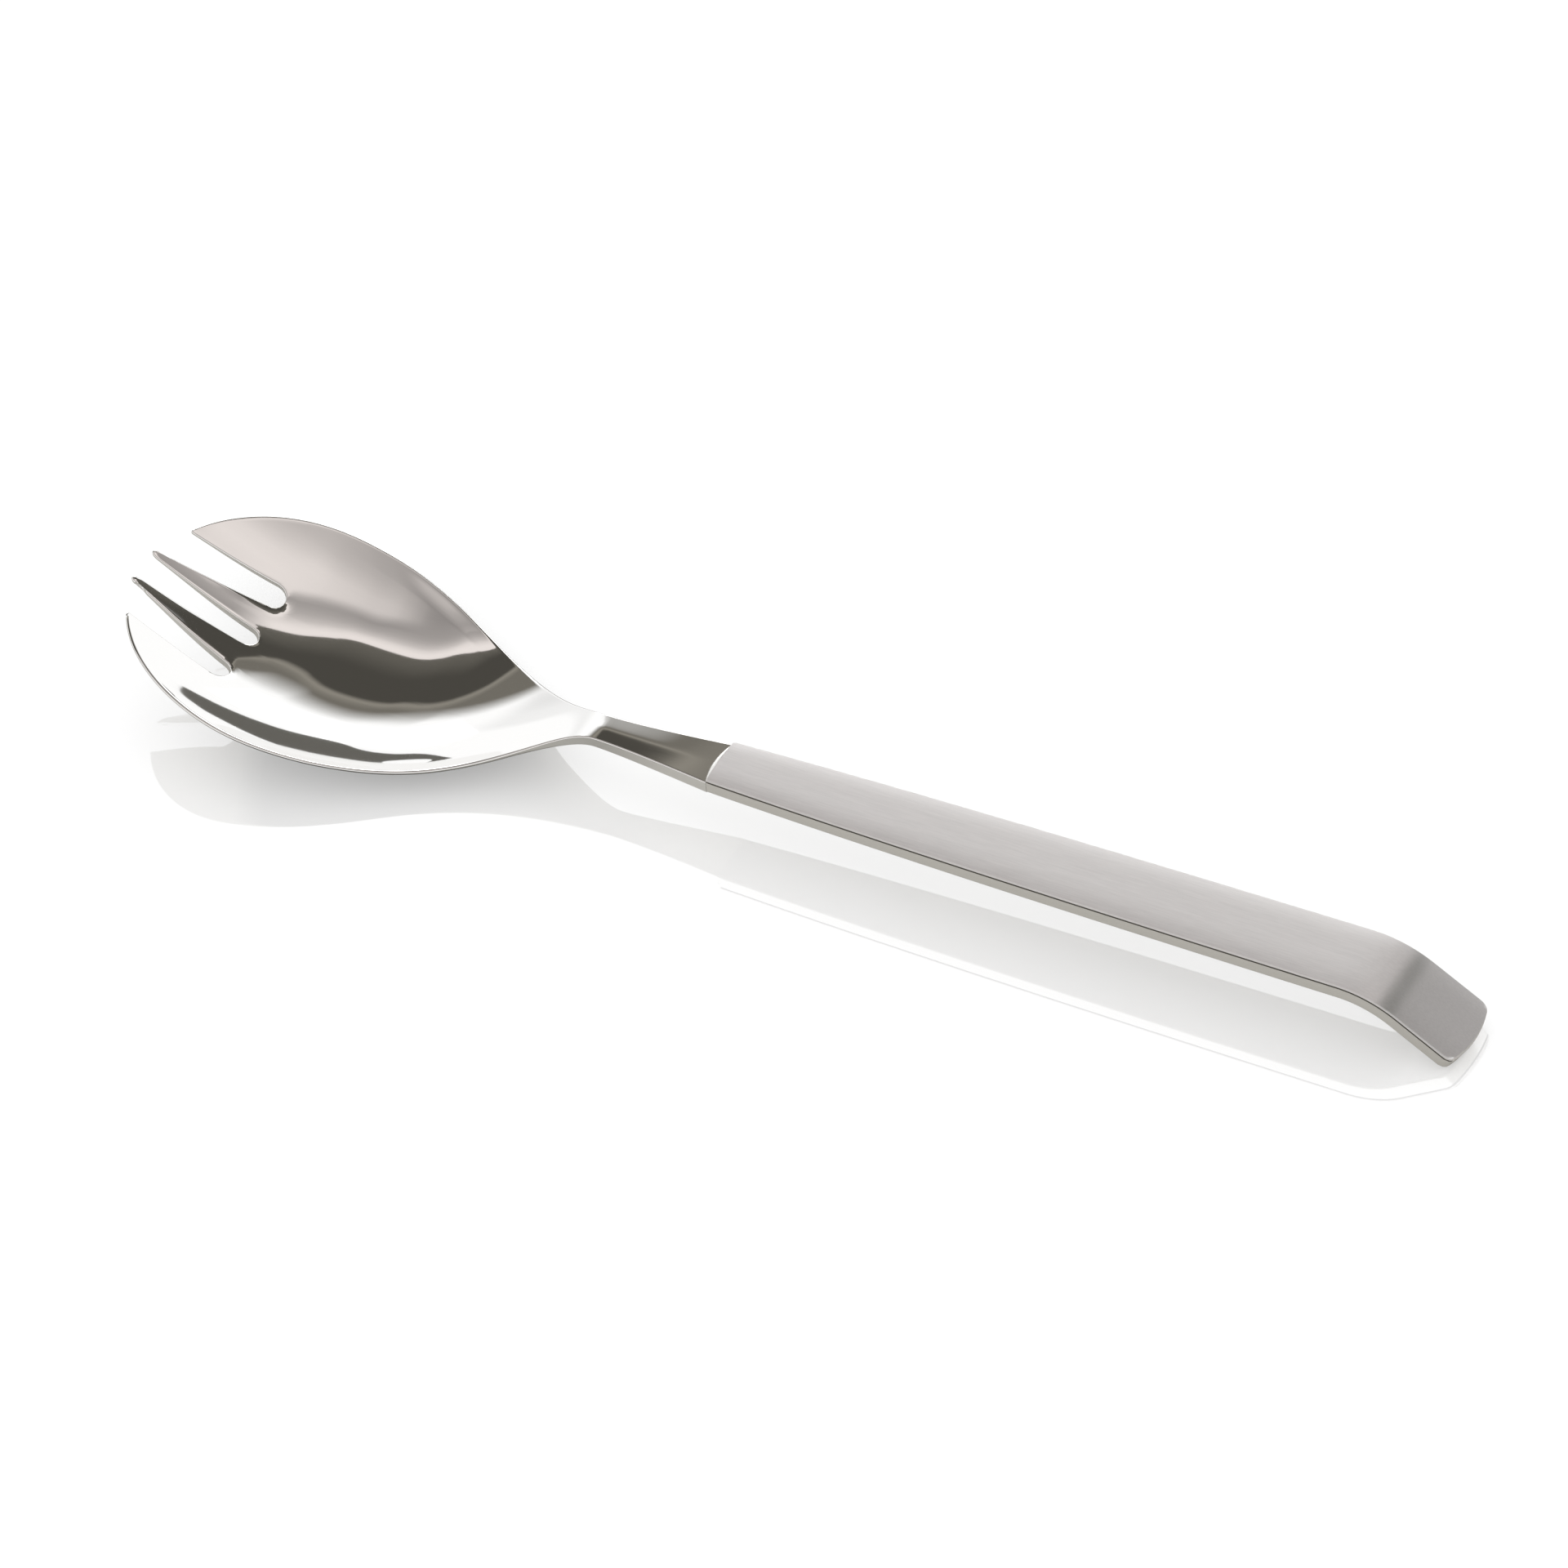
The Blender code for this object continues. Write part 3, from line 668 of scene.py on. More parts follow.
cement = bpy.data.materials.new("handle_cement")
cement.use_nodes = True
cement_tree = cement.node_tree
cement_shader = cement_tree.nodes["Principled BSDF"].inputs
cement_place = add_node(cement_tree, "TexCoord").outputs["Object"]
grain = noise(cement_tree, cement_place, CORE_GRAIN, CORE_GRAIN_DETAIL)
dark_cement = (*[CORE_SHADE * c for c in CORE_COLOUR], 1.0)
cement_tone = blend(cement_tree, grain, dark_cement, (*CORE_COLOUR, 1.0))
cement_bump = add_node(cement_tree, "Bump", inputs={"Height": grain, "Distance": CORE_GRAIN_DEPTH})
cement_tree.links.new(cement_tone, cement_shader["Base Color"])
cement_tree.links.new(cement_bump.outputs[0], cement_shader["Normal"])
cement_shader["Roughness"].default_value = CORE_ROUGHNESS
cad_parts["handle_core"].data.materials[0] = cement

# Lower handle shell: a shallow tray of steel sheet, open at the head, with rounded lower edges.
# It is drawn flat, bent down at the end with the handle, and soldered to the cover along its rim.
# Its sides are polished and its underside is satin. Its inside and rim are painted dark, as the
# shade in the seam between the shells.

FIT_GAP = 0.00025
WALL = 0.0006
UNDER_EDGE_RADIUS = 0.0005
TRAY_LIP = 0.00006
HANDLE_END_HALF_WIDTH = 0.0070
HANDLE_FRONT_FLARE = 0.00125
HANDLE_FRONT_PULL = 0.0290
HANDLE_REAR_PULL = 0.0700
HANDLE_REAR_FLARE = 0.0001
BEND_RADIUS = 0.019
BEND_ANGLE = math.radians(33.6)
END_ARC_RADIUS = 0.019
END_CORNER_RADIUS = 0.0018
COVER_LAND = 0.00015
COVER_ROUND = 0.0003
COVER_CROWN = 0.0004
COVER_SQUARENESS = 4
COVER_LIP = 0.0012
TRAY_FRONT_SPARE = 0.0015
TRAY_FRONT = 0.00002
UNDER_FACES = -0.8
UPPER_FACES = 0.3
HANDLE_SHARP = math.radians(40.0)

SIDE_STEPS = 1600
LEVEL_ROWS = 40
BEND_ROWS = 24
TIP_ROWS = 16
HANDLE_COLUMNS = 16

cover_edge = FIT_GAP + COVER_LAND + COVER_ROUND
end_drop = SEAM_HEIGHT - SIDE_HEIGHT * math.cos(BEND_ANGLE)
tip_run = (end_drop - BEND_RADIUS * (1.0 - math.cos(BEND_ANGLE))) / math.sin(BEND_ANGLE)
bend_run = BEND_RADIUS * BEND_ANGLE
top_radius = BEND_RADIUS + cover_edge + COVER_CROWN
end_reach = top_radius * math.sin(BEND_ANGLE) + tip_run * math.cos(BEND_ANGLE)
handle_end_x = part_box("handle_upper_shell")[1][0]
level_run = handle_end_x - shoulder_x - end_reach
spine_length = level_run + bend_run + tip_run
side_line = swept(
    (0.0, SHOULDER_HALF_WIDTH),
    (HANDLE_FRONT_PULL, SHOULDER_HALF_WIDTH + HANDLE_FRONT_FLARE),
    (spine_length - HANDLE_REAR_PULL, HANDLE_END_HALF_WIDTH - HANDLE_REAR_FLARE),
    (spine_length, HANDLE_END_HALF_WIDTH),
)


def on_spine(along, across, over):
    """Bends a place on the handle, given as a way along the spine and a height over the seam."""
    slope = np.clip(along - level_run, 0.0, bend_run) / BEND_RADIUS
    rest = np.maximum(along - level_run - bend_run, 0.0)
    radius = BEND_RADIUS + over
    x = shoulder_x + np.minimum(along, level_run) + radius * np.sin(slope) + rest * np.cos(slope)
    z = SEAM_HEIGHT - BEND_RADIUS + radius * np.cos(slope) - rest * np.sin(slope)
    return np.column_stack([x, across, z])


def handle_sheet(name, front, inset, height):
    """A flat sheet of the handle's outline, drawn in by the inset, with a square front."""
    arc_at = spine_length - END_ARC_RADIUS
    corner_y = HANDLE_END_HALF_WIDTH - END_CORNER_RADIUS
    reach = END_ARC_RADIUS - END_CORNER_RADIUS
    corner_at = arc_at + math.sqrt(reach**2 - corner_y**2)
    meet = math.asin(corner_y / reach)
    runs = np.array([front, *np.linspace(0.0, corner_at, SIDE_STEPS)])
    side = np.column_stack([runs, np.interp(runs, side_line[:, 0], side_line[:, 1])])
    split = 0.5 * (QUARTER + meet)
    side_corner = arc((corner_at, corner_y), END_CORNER_RADIUS, QUARTER, split)
    end_corner = arc((corner_at, corner_y), END_CORNER_RADIUS, split, meet)
    end = arc((arc_at, 0.0), END_ARC_RADIUS, meet, 0.0)
    side, side_corner, end_corner, end = drawn_in([side, side_corner, end_corner, end], inset)
    side[0, 0] = front
    end[-1, 1] = 0.0
    side = np.vstack([side, side_corner[1:]])
    rows = np.concatenate([
        np.linspace(front, level_run, LEVEL_ROWS + 1),
        np.linspace(level_run, level_run + bend_run, BEND_ROWS + 1)[1:],
        np.linspace(level_run + bend_run, side[-1, 0], TIP_ROWS + 1)[1:],
    ])
    right = np.column_stack([rows, np.interp(rows, side[:, 0], side[:, 1])])
    middle_runs = np.interp(rows, [front, side[-1, 0]], [front, end[-1, 0]])
    middle = np.column_stack([middle_runs, 0.0 * rows])
    first = divide(np.array([middle[0], right[0]]), HANDLE_COLUMNS)
    last = divide(np.vstack([end_corner, end[1:]])[::-1], HANDLE_COLUMNS)
    return lay_sheet(name, mirrored(fill(middle, right, first, last)), height)


tray = handle_sheet("handle_tray", TRAY_FRONT - TRAY_FRONT_SPARE, WALL, -SIDE_HEIGHT)
flat_under = WALL - UNDER_EDGE_RADIUS
under_edge = [(flat_under + out, up - SIDE_HEIGHT) for out, up in rounding(UNDER_EDGE_RADIUS)]
rim_edge = [(WALL, -TRAY_LIP), (WALL - TRAY_LIP, 0.0), (0.0, 0.0)]
wrap_edge(tray, under_edge + rim_edge + [(0.0, WALL - SIDE_HEIGHT)])
bpy.ops.object.mode_set(mode="EDIT")
bpy.ops.mesh.select_all(action="SELECT")
bpy.ops.mesh.bisect(
    plane_co=(TRAY_FRONT, 0.0, 0.0), plane_no=(1.0, 0.0, 0.0), use_fill=True, clear_inner=True
)
turn_outward()
move_vertices(tray, on_spine)
finish_shading(tray, HANDLE_SHARP)
side_steel = metal(
    "polished_side_steel",
    colour=(0.93, 0.92, 0.90),
    shade=0.95,
    gloss=(0.08, 0.16),
    fine=5000.0,
    broad=120.0,
    hairline_depth=0.0000008,
    ripple_depth=0.000006,
)
satin_under_steel = metal(
    "satin_underside_steel",
    colour=(0.93, 0.92, 0.91),
    shade=0.8,
    gloss=(0.40, 0.52),
    fine=3500.0,
    broad=120.0,
    hairline_depth=0.000004,
    ripple_depth=0.000004,
    spread=0.85,
    scatter=0.15,
)
# Dark matte steel for the upward faces: a painted shade that darkens the seam between the shells.
seam_shade_steel = metal(
    "painted_seam_shade_steel",
    colour=(0.22, 0.21, 0.19),
    shade=0.8,
    gloss=(0.45, 0.60),
    fine=2500.0,
    broad=300.0,
    hairline_depth=0.000002,
    ripple_depth=0.000006,
)
for steel in (side_steel, satin_under_steel, seam_shade_steel):
    tray.data.materials.append(steel)
for face in tray.data.polygons:
    up = face.normal.z
    face.material_index = 1 if up < UNDER_FACES else 2 if up > UPPER_FACES else 0
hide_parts("handle_lower_shell")
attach(tray, "root")

# Seam solder: a thin bead of silver solder along the inside of the seam between the shells.
# It is left as it flowed, bright and a little uneven, and all of it is hidden.

solder_silver = metal(
    "silver_solder_metal",
    colour=(0.90, 0.89, 0.86),
    shade=0.94,
    gloss=(0.08, 0.16),
    fine=2500.0,
    broad=700.0,
    hairline_depth=0.0000006,
    ripple_depth=0.00001,
)
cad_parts["seam_solder"].data.materials[0] = solder_silver

# Upper handle shell: a crowned cover of the same sheet, with rounded edges.
# It is soldered on the tray's rim, and its top is brushed along the handle to a fine satin.

cover = handle_sheet("handle_cover", FIT_GAP, COVER_ROUND, cover_edge)
cover_rim = [(reach, cover_edge - drop) for reach, drop in rounding(COVER_ROUND)[1:]]
wrap_edge(cover, cover_rim + [(COVER_ROUND, FIT_GAP), (0.0, FIT_GAP)], FIT_GAP)


def crown_cover(along, across, over):
    """Crowns the flat cover and hollows its underside, then bends it with the handle."""
    half = np.interp(along, side_line[:, 0], side_line[:, 1])
    flat = half - COVER_ROUND
    crown = COVER_CROWN * np.maximum(0.0, 1.0 - (across / flat) ** COVER_SQUARENESS)
    on_top = over > cover_edge - MERGE
    inside = (over < FIT_GAP + MERGE) & (np.abs(across) < half - COVER_LIP)
    inside &= along < spine_length - COVER_LIP
    hollow = np.maximum(FIT_GAP, cover_edge + crown - WALL)
    over = np.where(on_top, over + crown, np.where(inside, hollow, over))
    return on_spine(along, across, over)


move_vertices(cover, crown_cover)
finish_shading(cover, HANDLE_SHARP)
satin_steel = metal(
    "satin_brushed_steel",
    colour=(0.99, 0.97, 0.965),
    shade=0.8,
    gloss=(0.36, 0.48),
    fine=3500.0,
    broad=120.0,
    hairline_depth=0.000004,
    ripple_depth=0.000004,
    spread=0.92,
    scatter=0.15,
)
cover.data.materials.append(satin_steel)
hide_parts("handle_upper_shell")
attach(cover, "root")

# Neck solder: the fillet of silver solder in the step between the neck and the cover's front edge.
# It is drawn into the corner as it cools, so its face is hollow, and it is buffed bright.

SOLDER_GAP = 0.0001
FILLET_REACH = 0.0011
FILLET_TAPER = 0.85
FILLET_RINGS = 40
FILLET_STEPS = 8

bpy.ops.mesh.primitive_circle_add(vertices=FILLET_STEPS + 2, fill_type="NGON")
fillet = bpy.context.object
fillet.name = fillet.data.name = "neck_fillet"
bpy.ops.object.mode_set(mode="EDIT")


def fillet_ring(share):
    """The section of the fillet at a share of its half length from the middle."""
    y = share * (SHOULDER_HALF_WIDTH - COVER_ROUND)
    fullness = 1.0 - (FILLET_TAPER * share) ** 2
    foot = SOLDER_GAP + float(neck_crown(SHOULDER_AT, y))
    top = cover_edge + COVER_CROWN * (1.0 - (y / SHOULDER_HALF_WIDTH) ** COVER_SQUARENESS)
    rise = (top - SOLDER_GAP - foot) * fullness
    back = FIT_GAP - SOLDER_GAP
    along, over = [back], [foot]
    for turn in np.linspace(QUARTER, 0.0, FILLET_STEPS + 1):
        along.append(back - FILLET_REACH * fullness * (1.0 - math.sin(turn)))
        over.append(foot + rise * (1.0 - math.cos(turn)))
    return on_spine(np.array(along), np.full(len(along), y), np.array(over))


for step, share in enumerate(np.linspace(-1.0, 1.0, FILLET_RINGS + 1)):
    if step:
        bpy.ops.mesh.extrude_region_move()
    shape = bmesh.from_edit_mesh(fillet.data)
    ring = fillet_ring(share)
    chosen = [face for face in shape.faces if face.select][0]
    for loop, point in zip(chosen.loops, ring):
        loop.vert.co = point
    bmesh.update_edit_mesh(fillet.data)
turn_outward()
finish_shading(fillet, HANDLE_SHARP)
fillet.data.materials.append(solder_silver)
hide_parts("neck_solder")
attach(fillet, "root")

# Table: a wide, smooth white top under the fork, with a gloss that takes a faint reflection.
# Metal mirrors it without that gloss, in a grey that is darker where the bowl shades it.

FLOOR_SIZE = 12.0
TOP_PAINT = 0.7
TOP_UNDER_HANDLE = (0.52, 0.505, 0.471, 1.0)
TOP_UNDER_BOWL = (0.17, 0.165, 0.15, 1.0)
SHADE_FROM = (-0.112, -0.1)
SHADE_TO = (-0.03, -0.065)
TOP_IOR = 3.0
TOP_SPECULAR = 0.5

bpy.ops.mesh.primitive_plane_add(size=FLOOR_SIZE)
table = bpy.context.object
table.name = "table_top"
white_top = bpy.data.materials.new("white_table")
white_top.use_nodes = True
top_tree = white_top.node_tree
top_shader = top_tree.nodes["Principled BSDF"].inputs
seen_by = add_node(top_tree, "LightPath").outputs
top_place = add_node(top_tree, "TexCoord").outputs["Object"]
along_top = add_node(top_tree, "SeparateXYZ", inputs={0: top_place}).outputs["X"]
past_tines = ranged(top_tree, along_top, *SHADE_FROM)
under_bowl = ranged(top_tree, along_top, *SHADE_TO, high=past_tines)
top_in_metal = blend(top_tree, under_bowl, TOP_UNDER_HANDLE, TOP_UNDER_BOWL)
top_white = (TOP_PAINT, TOP_PAINT, TOP_PAINT, 1.0)
top_tone = blend(top_tree, seen_by["Is Glossy Ray"], top_white, top_in_metal)
top_gloss = ranged(top_tree, seen_by["Is Glossy Ray"], low=TOP_SPECULAR, high=0.0)
top_glow = ranged(top_tree, seen_by["Is Camera Ray"], high=1.0 - TOP_PAINT)
top_tree.links.new(top_tone, top_shader["Base Color"])
top_tree.links.new(top_gloss, top_shader["Specular IOR Level"])
top_tree.links.new(top_glow, top_shader["Emission Strength"])
top_shader["Emission Color"].default_value = (1.0, 1.0, 1.0, 1.0)
top_shader["Roughness"].default_value = 0.0
top_shader["IOR"].default_value = TOP_IOR
table.data.materials.append(white_top)

# Studio: a white room whose walls light the fork evenly. What stands in it is seen in metal only:
# a large overhead card, the dark gap behind it, a white back wall with a pale stretch at its left,
# a dark hill at the back of the table and a lamp over it. Second reflections see only white.

WHITE = (1.0, 1.0, 1.0)
CARD_TINT = (1.06, 0.985, 0.95)
GAP_TINT = (1.07, 1.0, 0.86)
HILL_TONE = (0.125, 0.12, 0.108)
SIDE_TONE = 0.26
ROOM_LEVEL = 1.0
MIRRORED_LEVEL = 1.04
SECOND_BOUNCE = 2.5
LOWEST_RISE = 0.02
EDGE_SPAN = (-2.0, 2.0)
RIM_SLANT = 0.4
DULL_START = 0.13
DULL_START_LEVEL = 1.23
RIGHT_END = (-0.3, 0.9)
END_FROM = (0.18, 0.3)
SIDE_FROM = (0.42, 0.6)
GAP_START = 0.25
GAP_START_LEVEL = 1.8
LOW_WALLS = (0.3, 0.45)
PALE_SLANT = 0.55
PALE_WALL = (-0.5, 1.5)
HILL_FROM = math.radians(90.0)
HILL_TO = math.radians(130.0)
WINDOW_AT = np.radians((123.0, 8.4))
WINDOW_HALF = np.radians((3.6, 1.9))
LAMP_FROM = np.radians((92.0, 98.0))
LAMP_TO = np.radians((138.0, 132.0))
LAMP_LOW = np.radians((19.0, 21.0))
LAMP_HIGH = np.radians((32.0, 26.0))
LAMP_LEVEL = 3.4

studio = bpy.data.worlds.new("studio")
bpy.context.scene.world = studio
studio.use_nodes = True
studio.cycles.sampling_method = "NONE"
room = studio.node_tree
room.nodes.clear()


def calculate(operation, first, second=0.0, third=0.0, tree=room):
    inputs = {0: first, 1: second, 2: third}
    return add_node(tree, "Math", operation=operation, inputs=inputs).outputs[0]


def between(share, first, second):
    """A tone between two others."""
    return add_node(room, "Mix", inputs={0: share, 2: first, 3: second}).outputs[0]


def dimmed(colour, level):
    inputs = {0: colour, "Scale": level}
    return add_node(room, "VectorMath", operation="SCALE", inputs=inputs).outputs[0]


def edge_curve(value, *points, span=EDGE_SPAN):
    """A line through the given points over a span of the value."""
    start, end = span
    line = add_node(room, "FloatCurve", inputs={"Value": ranged(room, value, start, end)})
    drawn = line.mapping.curves[0].points
    spread = [((x - start) / (end - start), y) for x, y in points]
    drawn[0].location, drawn[-1].location = spread[0], spread[-1]
    for point in spread[1:-1]:
        drawn.new(*point)
    line.mapping.use_clip = False
    line.mapping.update()
    return line.outputs[0]


def tones(value, tint, *stops):
    """Tones of one tint that run through the stops as the value grows from 0 to 1."""
    ramp = add_node(room, "ValToRGB", inputs={"Fac": value})
    ends = ramp.color_ramp.elements
    while len(ends) < len(stops):
        ends.new(0.5)
    for stop, (at, tone) in zip(ends, stops):
        stop.position = at
        stop.color = (*[tone * c for c in tint], 1.0)
    return ramp.outputs[0]


def greys(value, *stops):
    return tones(value, WHITE, *stops)


ray_way = add_node(room, "TexCoord").outputs["Generated"]
ray = add_node(room, "SeparateXYZ", inputs={0: ray_way}).outputs
rise = calculate("MAXIMUM", ray["Z"], LOWEST_RISE)
right_of = calculate("DIVIDE", ray["X"], rise)
behind = calculate("DIVIDE", ray["Y"], rise)
near_edge = edge_curve(
    right_of,
    (-2.0, -1.5), (-1.1, -0.35), (-1.0, -0.18), (-0.9, -0.05), (-0.8, 0.07), (-0.7, 0.145),
    (-0.6, 0.165), (-0.5, 0.215), (-0.4, 0.25), (-0.2, 0.255), (-0.1, 0.265), (0.0, 0.335),
    (0.1, 0.45), (0.2, 0.56), (0.3, 0.7), (0.5, 1.0), (2.0, 1.6),
)
far_edge = edge_curve(
    right_of,
    (-2.0, -0.3), (-1.2, 0.33), (-1.0, 0.52), (-0.9, 0.6), (-0.8, 0.67), (-0.7, 0.71),
    (-0.6, 0.72), (-0.5, 0.785), (-0.4, 0.82), (-0.3, 0.83), (-0.2, 0.83), (-0.1, 0.79),
    (0.0, 0.74), (0.1, 0.83), (0.18, 1.3), (0.3, 1.45), (0.6, 1.75), (2.0, 2.3),
)
white_from = edge_curve(
    right_of,
    (-2.0, 0.8), (-1.2, 0.79), (-1.0, 0.8), (-0.9, 0.81), (-0.8, 0.835), (-0.7, 0.88),
    (-0.6, 0.965), (-0.5, 1.04), (-0.4, 1.075), (-0.3, 1.08), (-0.2, 1.055), (-0.1, 0.96),
    (0.0, 0.98), (0.1, 1.27), (0.2, 1.3), (0.3, 1.2), (0.4, 1.1), (0.5, 1.5), (0.6, 2.05),
    (2.0, 2.6),
)
white_scale = edge_curve(
    right_of,
    (-2.0, 1.5), (-1.0, 1.5), (-0.9, 1.25), (-0.8, 1.0), (-0.2, 1.0), (-0.1, 0.85), (0.0, 0.8),
    (0.1, 1.65), (0.2, 2.5), (0.4, 2.5), (0.5, 1.5), (0.6, 1.0), (2.0, 1.0),
)
crease = edge_curve(
    right_of,
    (-2.0, -2.5), (-0.9, -0.7), (-0.8, -0.45), (-0.7, -0.21), (-0.6, -0.06), (-0.5, 0.03),
    (-0.4, 0.07), (-0.3, 0.075), (-0.2, 0.085), (-0.1, 0.11), (0.0, 0.12), (0.1, 0.155),
    (0.2, 0.23), (0.3, 0.3), (2.0, 0.3),
)

# The card from its crease up to its back edge.
up_card = calculate("SUBTRACT", behind, crease)
card_depth = calculate("SUBTRACT", near_edge, crease)
back_part = greys(
    calculate("DIVIDE", up_card, card_depth),
    (0.0, 0.32), (0.14, 0.345), (0.3, 0.4), (0.5, 0.52), (0.65, 0.68), (0.8, 0.76), (1.0, 0.78),
)
# The card in front of the crease: bright on the right, dull on the left with a paler rim.
past_crease = calculate("SUBTRACT", crease, behind)
in_front_of = calculate("MULTIPLY", behind, -1.0)
card_peak = edge_curve(
    right_of, (-2.0, 0.57), (-0.1, 0.57), (0.0, 0.61), (0.1, 0.65), (0.2, 0.7), (2.0, 0.7)
)
bright_rise = greys(
    past_crease, (0.0, 0.52), (0.02, 0.54), (0.045, 0.68), (0.07, 0.87), (0.085, 0.97), (0.1, 1.0)
)
bright_fall = greys(
    in_front_of,
    (0.0, 1.0), (0.05, 0.97), (0.09, 0.885), (0.13, 0.81),
    (0.17, 0.73), (0.21, 0.69), (0.25, 0.665), (0.6, 0.65),
)
bright_part = calculate("MULTIPLY", calculate("MULTIPLY", bright_rise, bright_fall), card_peak)
dull_rim = greys(
    calculate("MULTIPLY_ADD", right_of, -RIM_SLANT, in_front_of),
    (0.33, 0.26), (0.41, 0.29), (0.57, 0.33), (0.61, 0.36), (0.65, 0.39), (0.69, 0.46), (0.75, 0.5),
)
dull_start = ranged(room, past_crease, end=DULL_START, low=DULL_START_LEVEL)
dull_part = calculate("MULTIPLY", dull_rim, dull_start)
to_right = edge_curve(
    right_of, (-2.0, 0.0), (-0.42, 0.0), (-0.3, 0.33), (-0.2, 0.78), (-0.1, 1.0), (2.0, 1.0)
)
front_part = between(to_right, dull_part, bright_part)
card = between(calculate("GREATER_THAN", behind, crease), front_part, back_part)
# Its right end has no crease, only a dull bar, and fades out at the side.
end_tones = [
    (-0.3, 0.44), (-0.2, 0.47), (-0.1, 0.56), (0.0, 0.69), (0.1, 0.73), (0.2, 0.7), (0.4, 0.8),
    (0.46, 0.66), (0.53, 0.36), (0.63, 0.29), (0.68, 0.5), (0.74, 0.9), (0.8, 1.0),
]
end_depth = RIGHT_END[1] - RIGHT_END[0]
end_stops = [((at - RIGHT_END[0]) / end_depth, tone) for at, tone in end_tones]
right_end = greys(ranged(room, behind, *RIGHT_END), *end_stops)
card = between(ranged(room, right_of, *END_FROM), card, right_end)
card = between(ranged(room, right_of, *SIDE_FROM, kind="SMOOTHSTEP"), card, SIDE_TONE)
card = dimmed(CARD_TINT, card)

# The gap, the white beyond it, and the low walls.
gap = tones(
    calculate("SUBTRACT", behind, far_edge),
    GAP_TINT,
    (0.0, 0.06), (0.05, 0.2), (0.08, 0.24), (0.13, 0.19), (0.2, 0.15),
)
past_card = calculate("SUBTRACT", behind, near_edge)
gap = dimmed(gap, ranged(room, past_card, end=GAP_START, low=GAP_START_LEVEL, kind="SMOOTHSTEP"))
past_gap = calculate("SUBTRACT", behind, white_from)
whitening = greys(
    calculate("MULTIPLY", past_gap, white_scale),
    (0.0, 0.0), (0.02, 0.04), (0.12, 0.25), (0.22, 0.47), (0.32, 0.73), (0.42, 0.94), (0.47, 1.0),
)
beyond = blend(room, whitening, gap, (*WHITE, 1.0))
ceiling = blend(room, calculate("LESS_THAN", behind, near_edge), beyond, card)
pale_line = calculate("MULTIPLY_ADD", right_of, PALE_SLANT, behind)
low_walls = greys(
    ranged(room, pale_line, *PALE_WALL),
    (0.0, 1.0), (0.2, 0.75), (0.4, 0.87), (0.55, 0.89), (0.65, 1.0),
)
walls = blend(room, ranged(room, ray["Z"], *LOW_WALLS, kind="SMOOTHSTEP"), low_walls, ceiling)

# The hill: a dark low shape over a white strip, with a white window at its right end.
heading = calculate("ARCTAN2", ray["Y"], ray["X"])
height = calculate("ARCSINE", ray["Z"])


def skyline(*points):
    """A line of heights by heading, both in degrees."""
    return edge_curve(heading, *np.radians(points).tolist(), span=(HILL_FROM, HILL_TO))


hill_top = skyline(
    (90.0, 13.0), (94.0, 14.4), (99.0, 15.7), (105.0, 17.6), (109.0, 18.6), (113.0, 18.2),
    (116.0, 16.2), (120.0, 15.0), (125.0, 14.2), (127.0, 12.4), (128.5, 9.5), (130.0, 6.0),
)
hill_foot = skyline(
    (90.0, 22.0), (93.0, 13.6), (94.0, 11.6), (95.0, 10.3), (97.0, 9.0), (98.0, 8.4),
    (101.0, 7.8), (105.0, 6.8), (109.0, 6.4), (114.0, 6.5), (120.0, 7.0), (130.0, 7.0),
)
window_x = calculate("DIVIDE", calculate("SUBTRACT", heading, WINDOW_AT[0]), WINDOW_HALF[0])
window_y = calculate("DIVIDE", calculate("SUBTRACT", height, WINDOW_AT[1]), WINDOW_HALF[1])
window_y_squared = calculate("MULTIPLY", window_y, window_y)
from_window = calculate("MULTIPLY_ADD", window_x, window_x, window_y_squared)
on_hill = calculate("LESS_THAN", height, hill_top)
for larger, smaller in (
    (height, hill_foot),
    (heading, HILL_FROM),
    (HILL_TO, heading),
    (from_window, 1.0),
):
    on_hill = calculate("MULTIPLY", on_hill, calculate("GREATER_THAN", larger, smaller))
walls = blend(room, on_hill, walls, (*HILL_TONE, 1.0))

# A soft lamp at the back, over the hill, lights the brushed metal.
lamp = LAMP_LEVEL
for value, (dark, bright) in (
    (heading, LAMP_FROM),
    (heading, LAMP_TO),
    (height, LAMP_LOW),
    (height, LAMP_HIGH),
):
    lamp = ranged(room, value, dark, bright, high=lamp)
walls = add_node(room, "VectorMath", operation="ADD", inputs={0: walls, 1: lamp}).outputs[0]

mirrored_room = add_node(room, "Background", inputs={"Color": walls, "Strength": MIRRORED_LEVEL})
plain_room = add_node(room, "Background", inputs={"Color": (*WHITE, 1.0), "Strength": ROOM_LEVEL})
light_path = add_node(room, "LightPath").outputs
in_metal = calculate("SUBTRACT", light_path["Is Glossy Ray"], light_path["Is Singular Ray"])
first_seen = calculate("LESS_THAN", light_path["Ray Depth"], SECOND_BOUNCE)
shown = add_node(
    room,
    "MixShader",
    inputs={
        0: calculate("MULTIPLY", in_metal, first_seen),
        1: plain_room.outputs[0],
        2: mirrored_room.outputs[0],
    },
)
add_node(room, "OutputWorld", inputs={"Surface": shown.outputs[0]})

# Flag: a strip of dark card over the end of the handle, whose bend shows it as a dark line.
# Only metal mirrors it, and it keeps no light from the fork.

FLAG_AT = (0.226, 0.15, 0.21)
FLAG_SIZE = (0.084, 0.9)
FLAG_TONE = (0.03, 0.03, 0.012, 1.0)

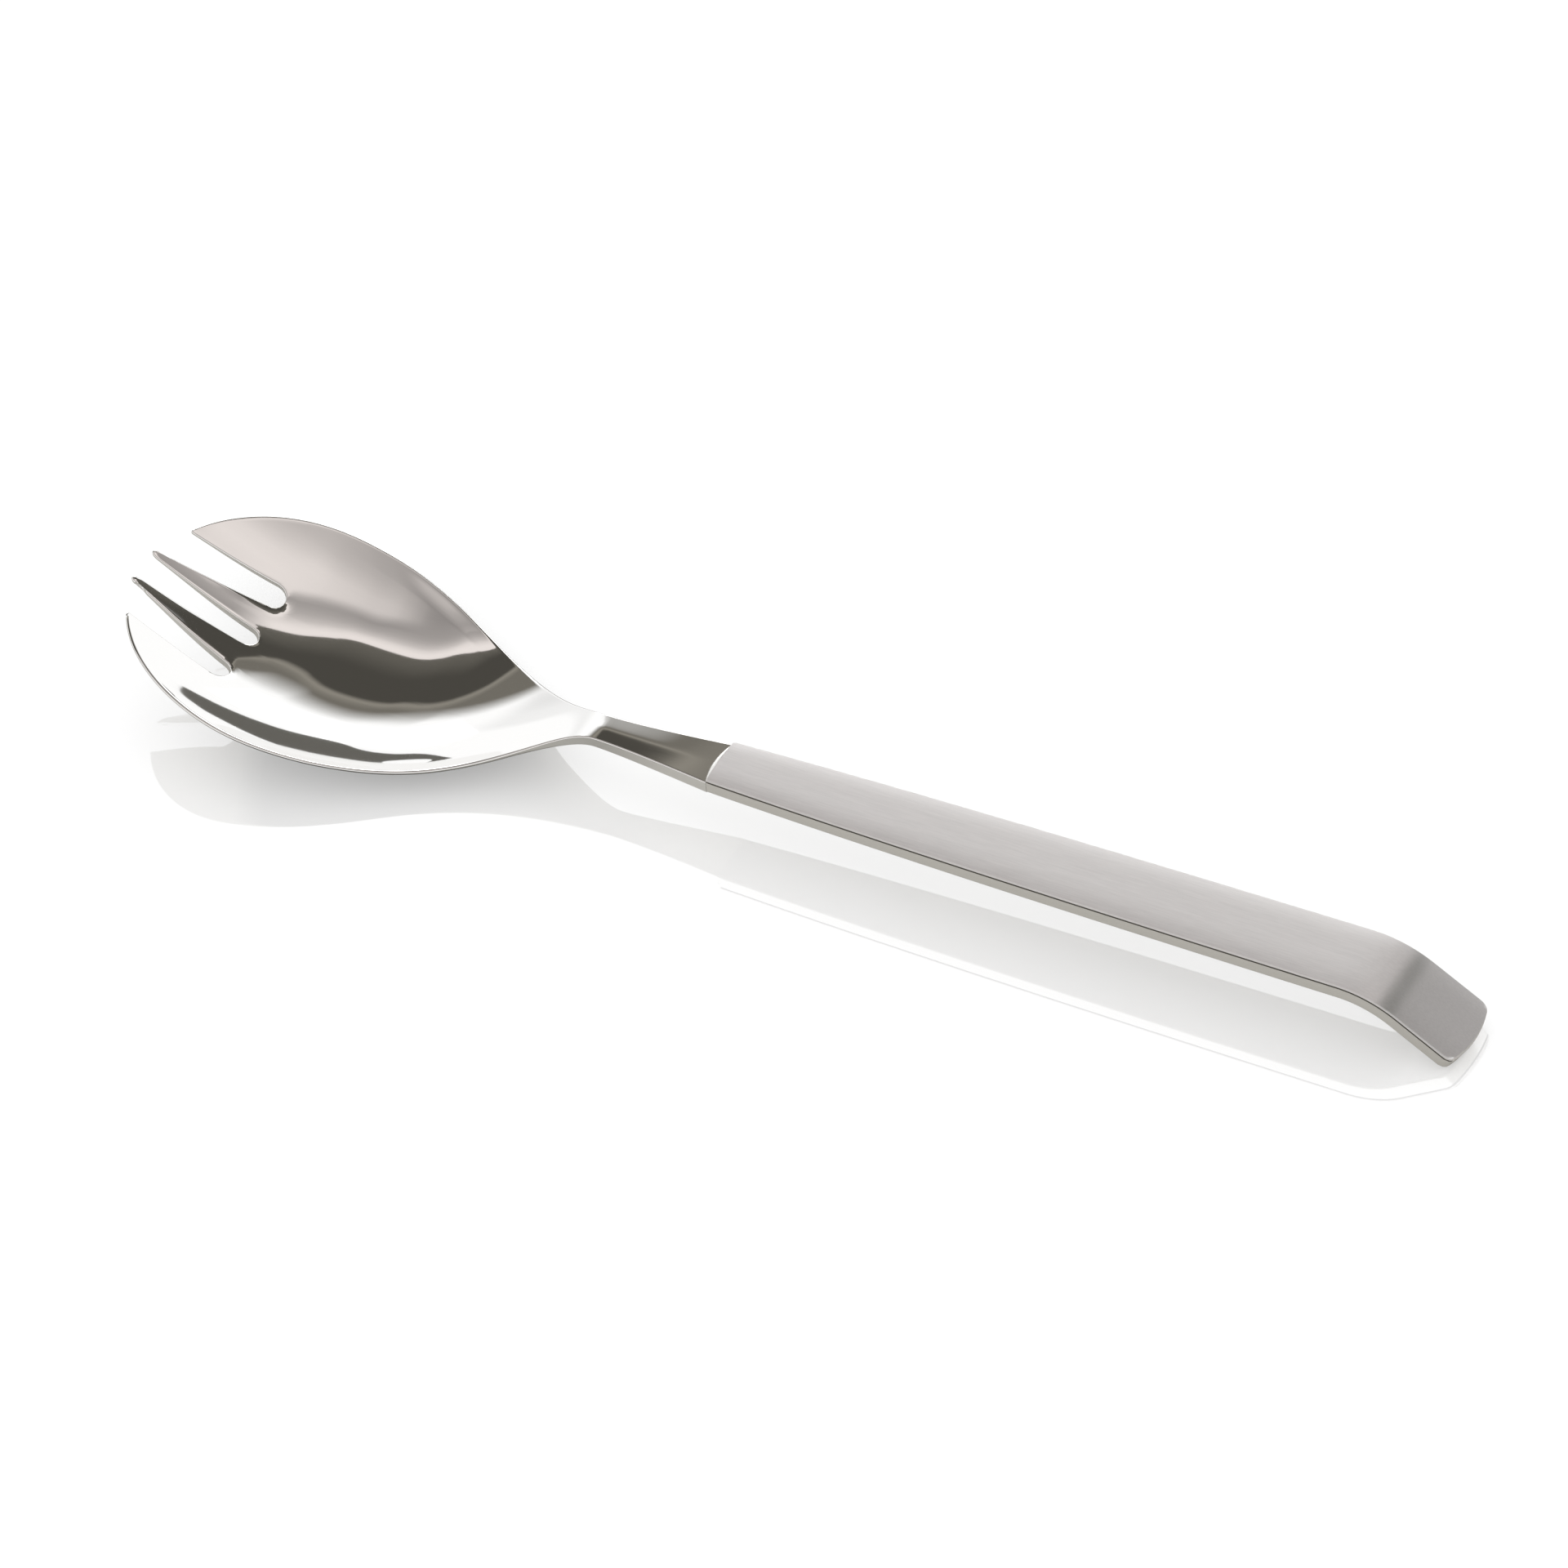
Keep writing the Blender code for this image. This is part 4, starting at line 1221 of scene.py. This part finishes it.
bpy.ops.mesh.primitive_plane_add(size=1.0)
bpy.ops.object.mode_set(mode="EDIT")
bpy.ops.transform.resize(value=(*FLAG_SIZE, 1.0))
bpy.ops.transform.translate(value=FLAG_AT)
bpy.ops.object.mode_set(mode="OBJECT")
flag = bpy.context.object
flag.name = "dark_flag"
flag_card = bpy.data.materials.new("dark_card")
flag_card.use_nodes = True
flag_tree = flag_card.node_tree
flag_tree.nodes.clear()
seen_by = add_node(flag_tree, "LightPath").outputs
in_metal = calculate(
    "SUBTRACT", seen_by["Is Glossy Ray"], seen_by["Is Singular Ray"], tree=flag_tree
)
unseen = add_node(flag_tree, "BsdfTransparent").outputs[0]
dark = add_node(flag_tree, "Emission", inputs={"Color": FLAG_TONE}).outputs[0]
flag_shown = add_node(flag_tree, "MixShader", inputs={0: in_metal, 1: unseen, 2: dark}).outputs[0]
add_node(flag_tree, "OutputMaterial", inputs={"Surface": flag_shown})
flag.data.materials.append(flag_card)
flag.visible_camera = flag.visible_diffuse = flag.visible_shadow = False

# Camera: a long lens above the near side, turned a little about its own axis as in the photograph.

VIEW_AZIMUTH = math.radians(33.14)
VIEW_ELEVATION = math.radians(43.96)
VIEW_ROLL = math.radians(-7.16)
VIEW_DISTANCE = 2.051
VIEW_TARGET = Vector((-0.00794, 0.00931, 0.00134))
SENSOR_WIDTH = 36.0
LENS = 281.5

camera_data = bpy.data.cameras.new("photo_camera")
camera_data.sensor_width = SENSOR_WIDTH
camera_data.lens = LENS
camera = bpy.data.objects.new("photo_camera", camera_data)
bpy.context.scene.collection.objects.link(camera)
towards = Vector((
    math.sin(VIEW_AZIMUTH) * math.cos(VIEW_ELEVATION),
    -math.cos(VIEW_AZIMUTH) * math.cos(VIEW_ELEVATION),
    math.sin(VIEW_ELEVATION),
))
camera.location = VIEW_TARGET + towards * VIEW_DISTANCE
camera.rotation_mode = "QUATERNION"
camera.rotation_quaternion = Quaternion(towards, VIEW_ROLL) @ (-towards).to_track_quat("-Z", "Y")
bpy.context.scene.camera = camera
bpy.context.scene.view_settings.view_transform = "Standard"
